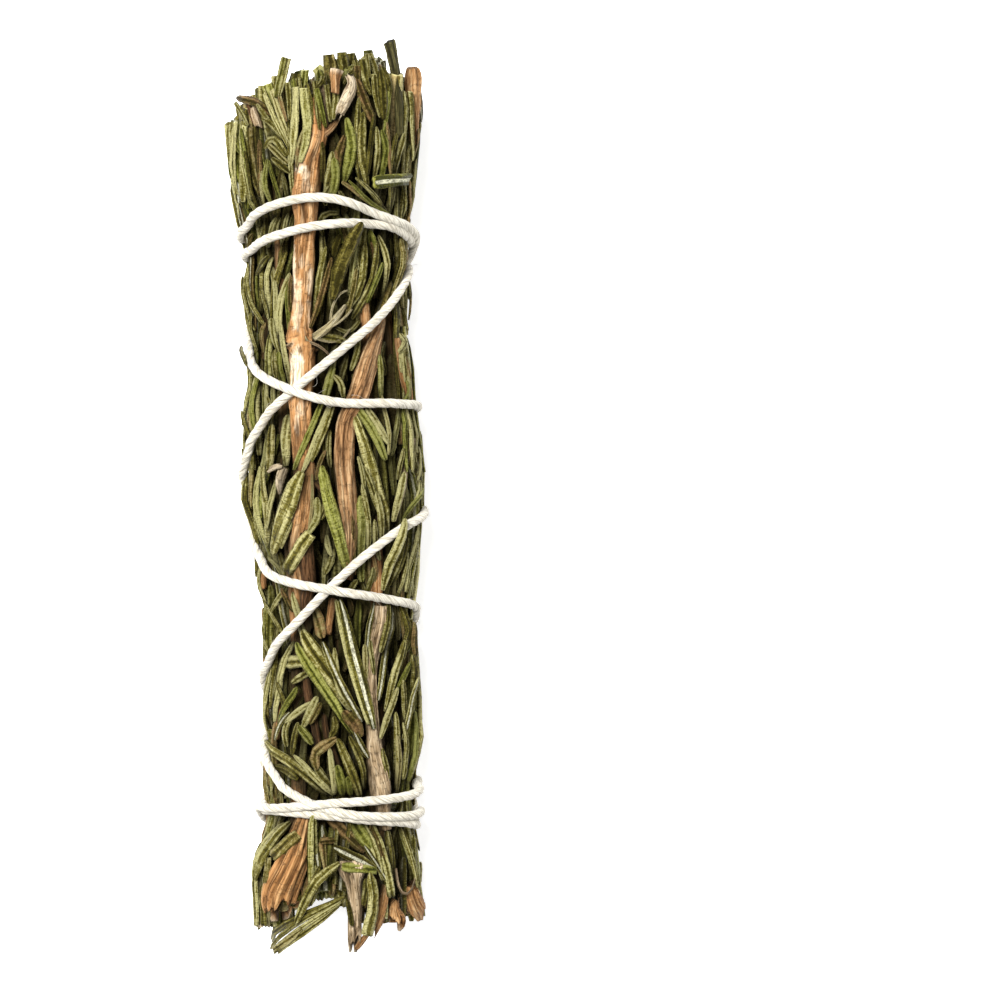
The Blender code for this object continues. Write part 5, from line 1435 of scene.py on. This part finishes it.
def twigPiece(twig):
    centres, sides, normals = framesAlong(twig["s"], twig["y"], twig["out"], twig["press"])
    length = lineLength(centres)
    order = np.linspace(0, 1, len(centres))
    seed = sum(ord(c) for c in twig["name"]) * 0.37
    big = float(twig["radius"].mean()) > 0.8
    split = twig["look"] == "splitWood"
    marks = []

    jag = twigEnds["jag"].get(twig["name"], 0.35)
    cup = twigEnds["cup"].get(twig["name"], 0.0)
    fade = min(0.45, 4.0 / length)

    def place(u, v):
        turn = 2 * math.pi * u
        wrapped = turn % (2 * math.pi - 1e-6)
        rough = np.array([noise.noise(Vector((math.cos(t) * 2.2 + seed, math.sin(t) * 2.2, 0.5))) for t in turn])
        along = np.clip((v - cup) / (1 - cup), 0, 1)
        start = jag * (0.5 + 0.5 * np.cos(turn - seed) + 1.1 * rough) / length
        along = along + start * np.clip(1 - along / fade, 0, 1)
        finish = jag * 0.6 * (0.5 + 0.5 * np.cos(turn + seed) + rough) / length
        along = along - finish * np.clip((along - 1 + fade) / fade, 0, 1)
        inside = np.clip((cup - v) / max(cup, 1e-6), 0, 1) if cup else np.zeros(len(v))
        along = along + inside * 1.1 / length
        centre, side, normal = readAlong(along, centres, sides, normals)
        radius = np.interp(along, order, twig["radius"])
        longer = 0.05 if split else 0.14
        ridges = roundNoise(wrapped, along * length * longer, 2.6, 4, seed)
        deep = 0.12 if split else 0.16 if big else 0.28
        radius = radius * (1 + deep * ridges)
        # painted shade: darker in the grooves between the bark's ridges
        grooveShade = np.clip(-1.9 * ridges - 0.25, 0, 1)
        if twig["name"] == "main_twig":
            atKnot = np.exp(-((centre[:, 1] - knot["y"]) / knot["reach"]) ** 2)
            lumps = roundNoise(wrapped, centre[:, 1] * 1.9, 1.6, 3, rough=0.7)
            radius = radius * (1 + knot["relief"] * atKnot * lumps)
            grooveShade = np.maximum(grooveShade, np.clip(-2.4 * lumps * atKnot - 0.1, 0, 1))
        if split:
            wander = np.array([noise.noise(Vector((w * length * 0.11, 7.7, math.sin(t)))) for t, w in zip(turn, along)])
            strands = np.abs(np.sin(5 * turn + 1.6 * wander + 0.5 * np.sin(along * 5)))
            radius = radius * (0.72 + 0.32 * strands ** 0.6)
            grooveShade = np.clip(1.5 - 3.0 * strands, 0, 1)
        radius = radius * (1 - 0.6 * inside)
        # the hollow turned into a cut end gets the painted shade too
        grooveShade = np.maximum(grooveShade, inside)
        flat = 0.42 if twig["flat"] else 1
        bare = np.zeros(len(v))
        points = centre + side * (radius * np.cos(turn))[:, None] + normal * (flat * radius * np.sin(turn))[:, None]
        if twig["name"] == "main_twig":
            bare, edge = peeled(points, np.sin(turn))
            grooveShade = np.maximum(grooveShade, edge)
            radius = radius - peel["thickness"] * bare
            points = centre + side * (radius * np.cos(turn))[:, None] + normal * (radius * np.sin(turn))[:, None]
        low, high = twigEnds["bare"].get(twig["name"], (0, 0))
        if low or high:
            ends = np.clip((low - along * length) * 2, 0, 1) + np.clip((along * length - length + high) * 2, 0, 1)
            bare = np.maximum(bare, ends)
        marks.append(np.column_stack([bare, grooveShade]))
        points[:, 2] = np.maximum(points[:, 2], 0.05)
        return points * mm

    rings = max(14, int(length / (0.35 if big else 0.5)))
    tube = rolledTube(twig["name"] + "_bark", rings, 44 if big else 18, place, length, marks)
    return withLook(tube, barkMaterials[twig["look"]])


cadTwigs = ("main_twig", "slanting_twig", "split_twig", "pale_twig", "tall_twig")
for twig in twigs:
    piece = twigPiece(twig)
    finishPiece(piece, "bark", *([twig["name"]] if twig["name"] in cadTwigs else []))
print("twigs", len(twigs))


def sprigStem(name):
    ys, line = sprigCentres(name)
    ends = [(ys[0], line[0]), (ys[-1], line[-1])]
    low = max(ys[0], cutAt(ends[0][1][0], "stemCut") + draw.uniform(0, 1.5))
    high = min(ys[-1], cutAt(ends[1][1][0], "topCut") - draw.uniform(0.5, 2.5))
    seed = draw.uniform(0, 50)

    def place(u, v):
        turn = 2 * math.pi * u
        y = low + (high - low) * v
        radius = growth["stem"] * (1.25 - 0.4 * v)
        radius = radius * (1 + 0.16 * roundNoise(turn % (2 * math.pi - 1e-6), v * 9, 1.6, 3, seed))
        x, z = np.interp(y, ys, line[:, 0]), np.interp(y, ys, line[:, 1])
        return np.column_stack([x + radius * np.cos(turn), y, z + radius * np.sin(turn)]) * mm

    rings, sides = 60, 12
    plain = np.zeros((rings * (sides + 1), 2))  # nowhere bare, and no painted groove shade
    tube = rolledTube(name + "_stem", rings, sides, place, high - low, [plain])
    return withLook(tube, barkMaterials["bark"])


for sprig in sprigs:
    finishPiece(sprigStem(sprig), "bark", sprig)


def stringPiece():
    centres, sides, normals = framesAlong(stringLine[:, 0], stringLine[:, 1], stringLine[:, 2], press=False)
    centres[:, 2] = np.maximum(centres[:, 2], string["diameter"] / 2 + 0.02)
    length = lineLength(centres)

    def place(u, v):
        turn = 2 * math.pi * u
        centre, side, normal = readAlong(v, centres, sides, normals)
        lobes = radius * (0.85 + 0.15 * np.abs(np.cos(1.5 * (turn - 2 * math.pi * v * length / string["lay"]))) ** 0.7)
        return (centre + side * (lobes * np.cos(turn))[:, None] + normal * (lobes * np.sin(turn))[:, None]) * mm

    tube = rolledTube("cotton_string", int(length / 0.36), 18, place, length, twist=10 / string["lay"])
    tube.data.materials.append(stringMaterial)
    return tube


fuzz = {"hairs": 80, "thickness": 0.022, "length": (0.8, 2.6), "lift": (0.1, 0.6)}


def stringFuzz():  # loose cotton fibres along the string
    centres, sides, normals = framesAlong(stringLine[:, 0], stringLine[:, 1], stringLine[:, 2], press=False)
    tangents = unit(np.gradient(centres, axis=0))
    hairs = []
    while len(hairs) < fuzz["hairs"]:
        at = draw.randrange(20, len(centres) - 20)
        turn, length = draw.uniform(0, 2 * math.pi), draw.uniform(*fuzz["length"])
        lift, wave = draw.uniform(*fuzz["lift"]), draw.uniform(1, 5)
        outward = sides[at] * math.cos(turn) + normals[at] * abs(math.sin(turn))
        forward = tangents[at] * draw.choice((-1, 1)) + sides[at] * draw.gauss(0, 0.5)
        aside = np.cross(outward, forward)

        def place(u, v):
            middle = (centres[at] + outward * string["diameter"] * 0.42 + forward * (length * 0.7 * v)[:, None]
                      + outward * (lift * np.sin(2.6 * v))[:, None] + aside * (0.25 * np.sin(wave * v))[:, None])
            around = outward * np.cos(2 * math.pi * u)[:, None] + aside * np.sin(2 * math.pi * u)[:, None]
            points = middle + around * fuzz["thickness"]
            points[:, 2] = np.maximum(points[:, 2], 0.03)
            return points * mm

        hairs.append(rolledTube(f"hair_{len(hairs)}", 9, 3, place, length))
    for hair in hairs:
        hair.select_set(True)
    bpy.context.view_layer.objects.active = hairs[0]
    bpy.ops.object.join()
    joined = bpy.context.object
    joined.name = "cotton_fuzz"
    joined.data.materials.append(stringMaterial)
    return joined


finishPiece(stringPiece(), "string", "binding_string")
finishPiece(stringFuzz(), "string", "binding_string")
print("string made")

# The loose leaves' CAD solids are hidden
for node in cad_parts:
    if node.startswith("leaf_"):
        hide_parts(node)
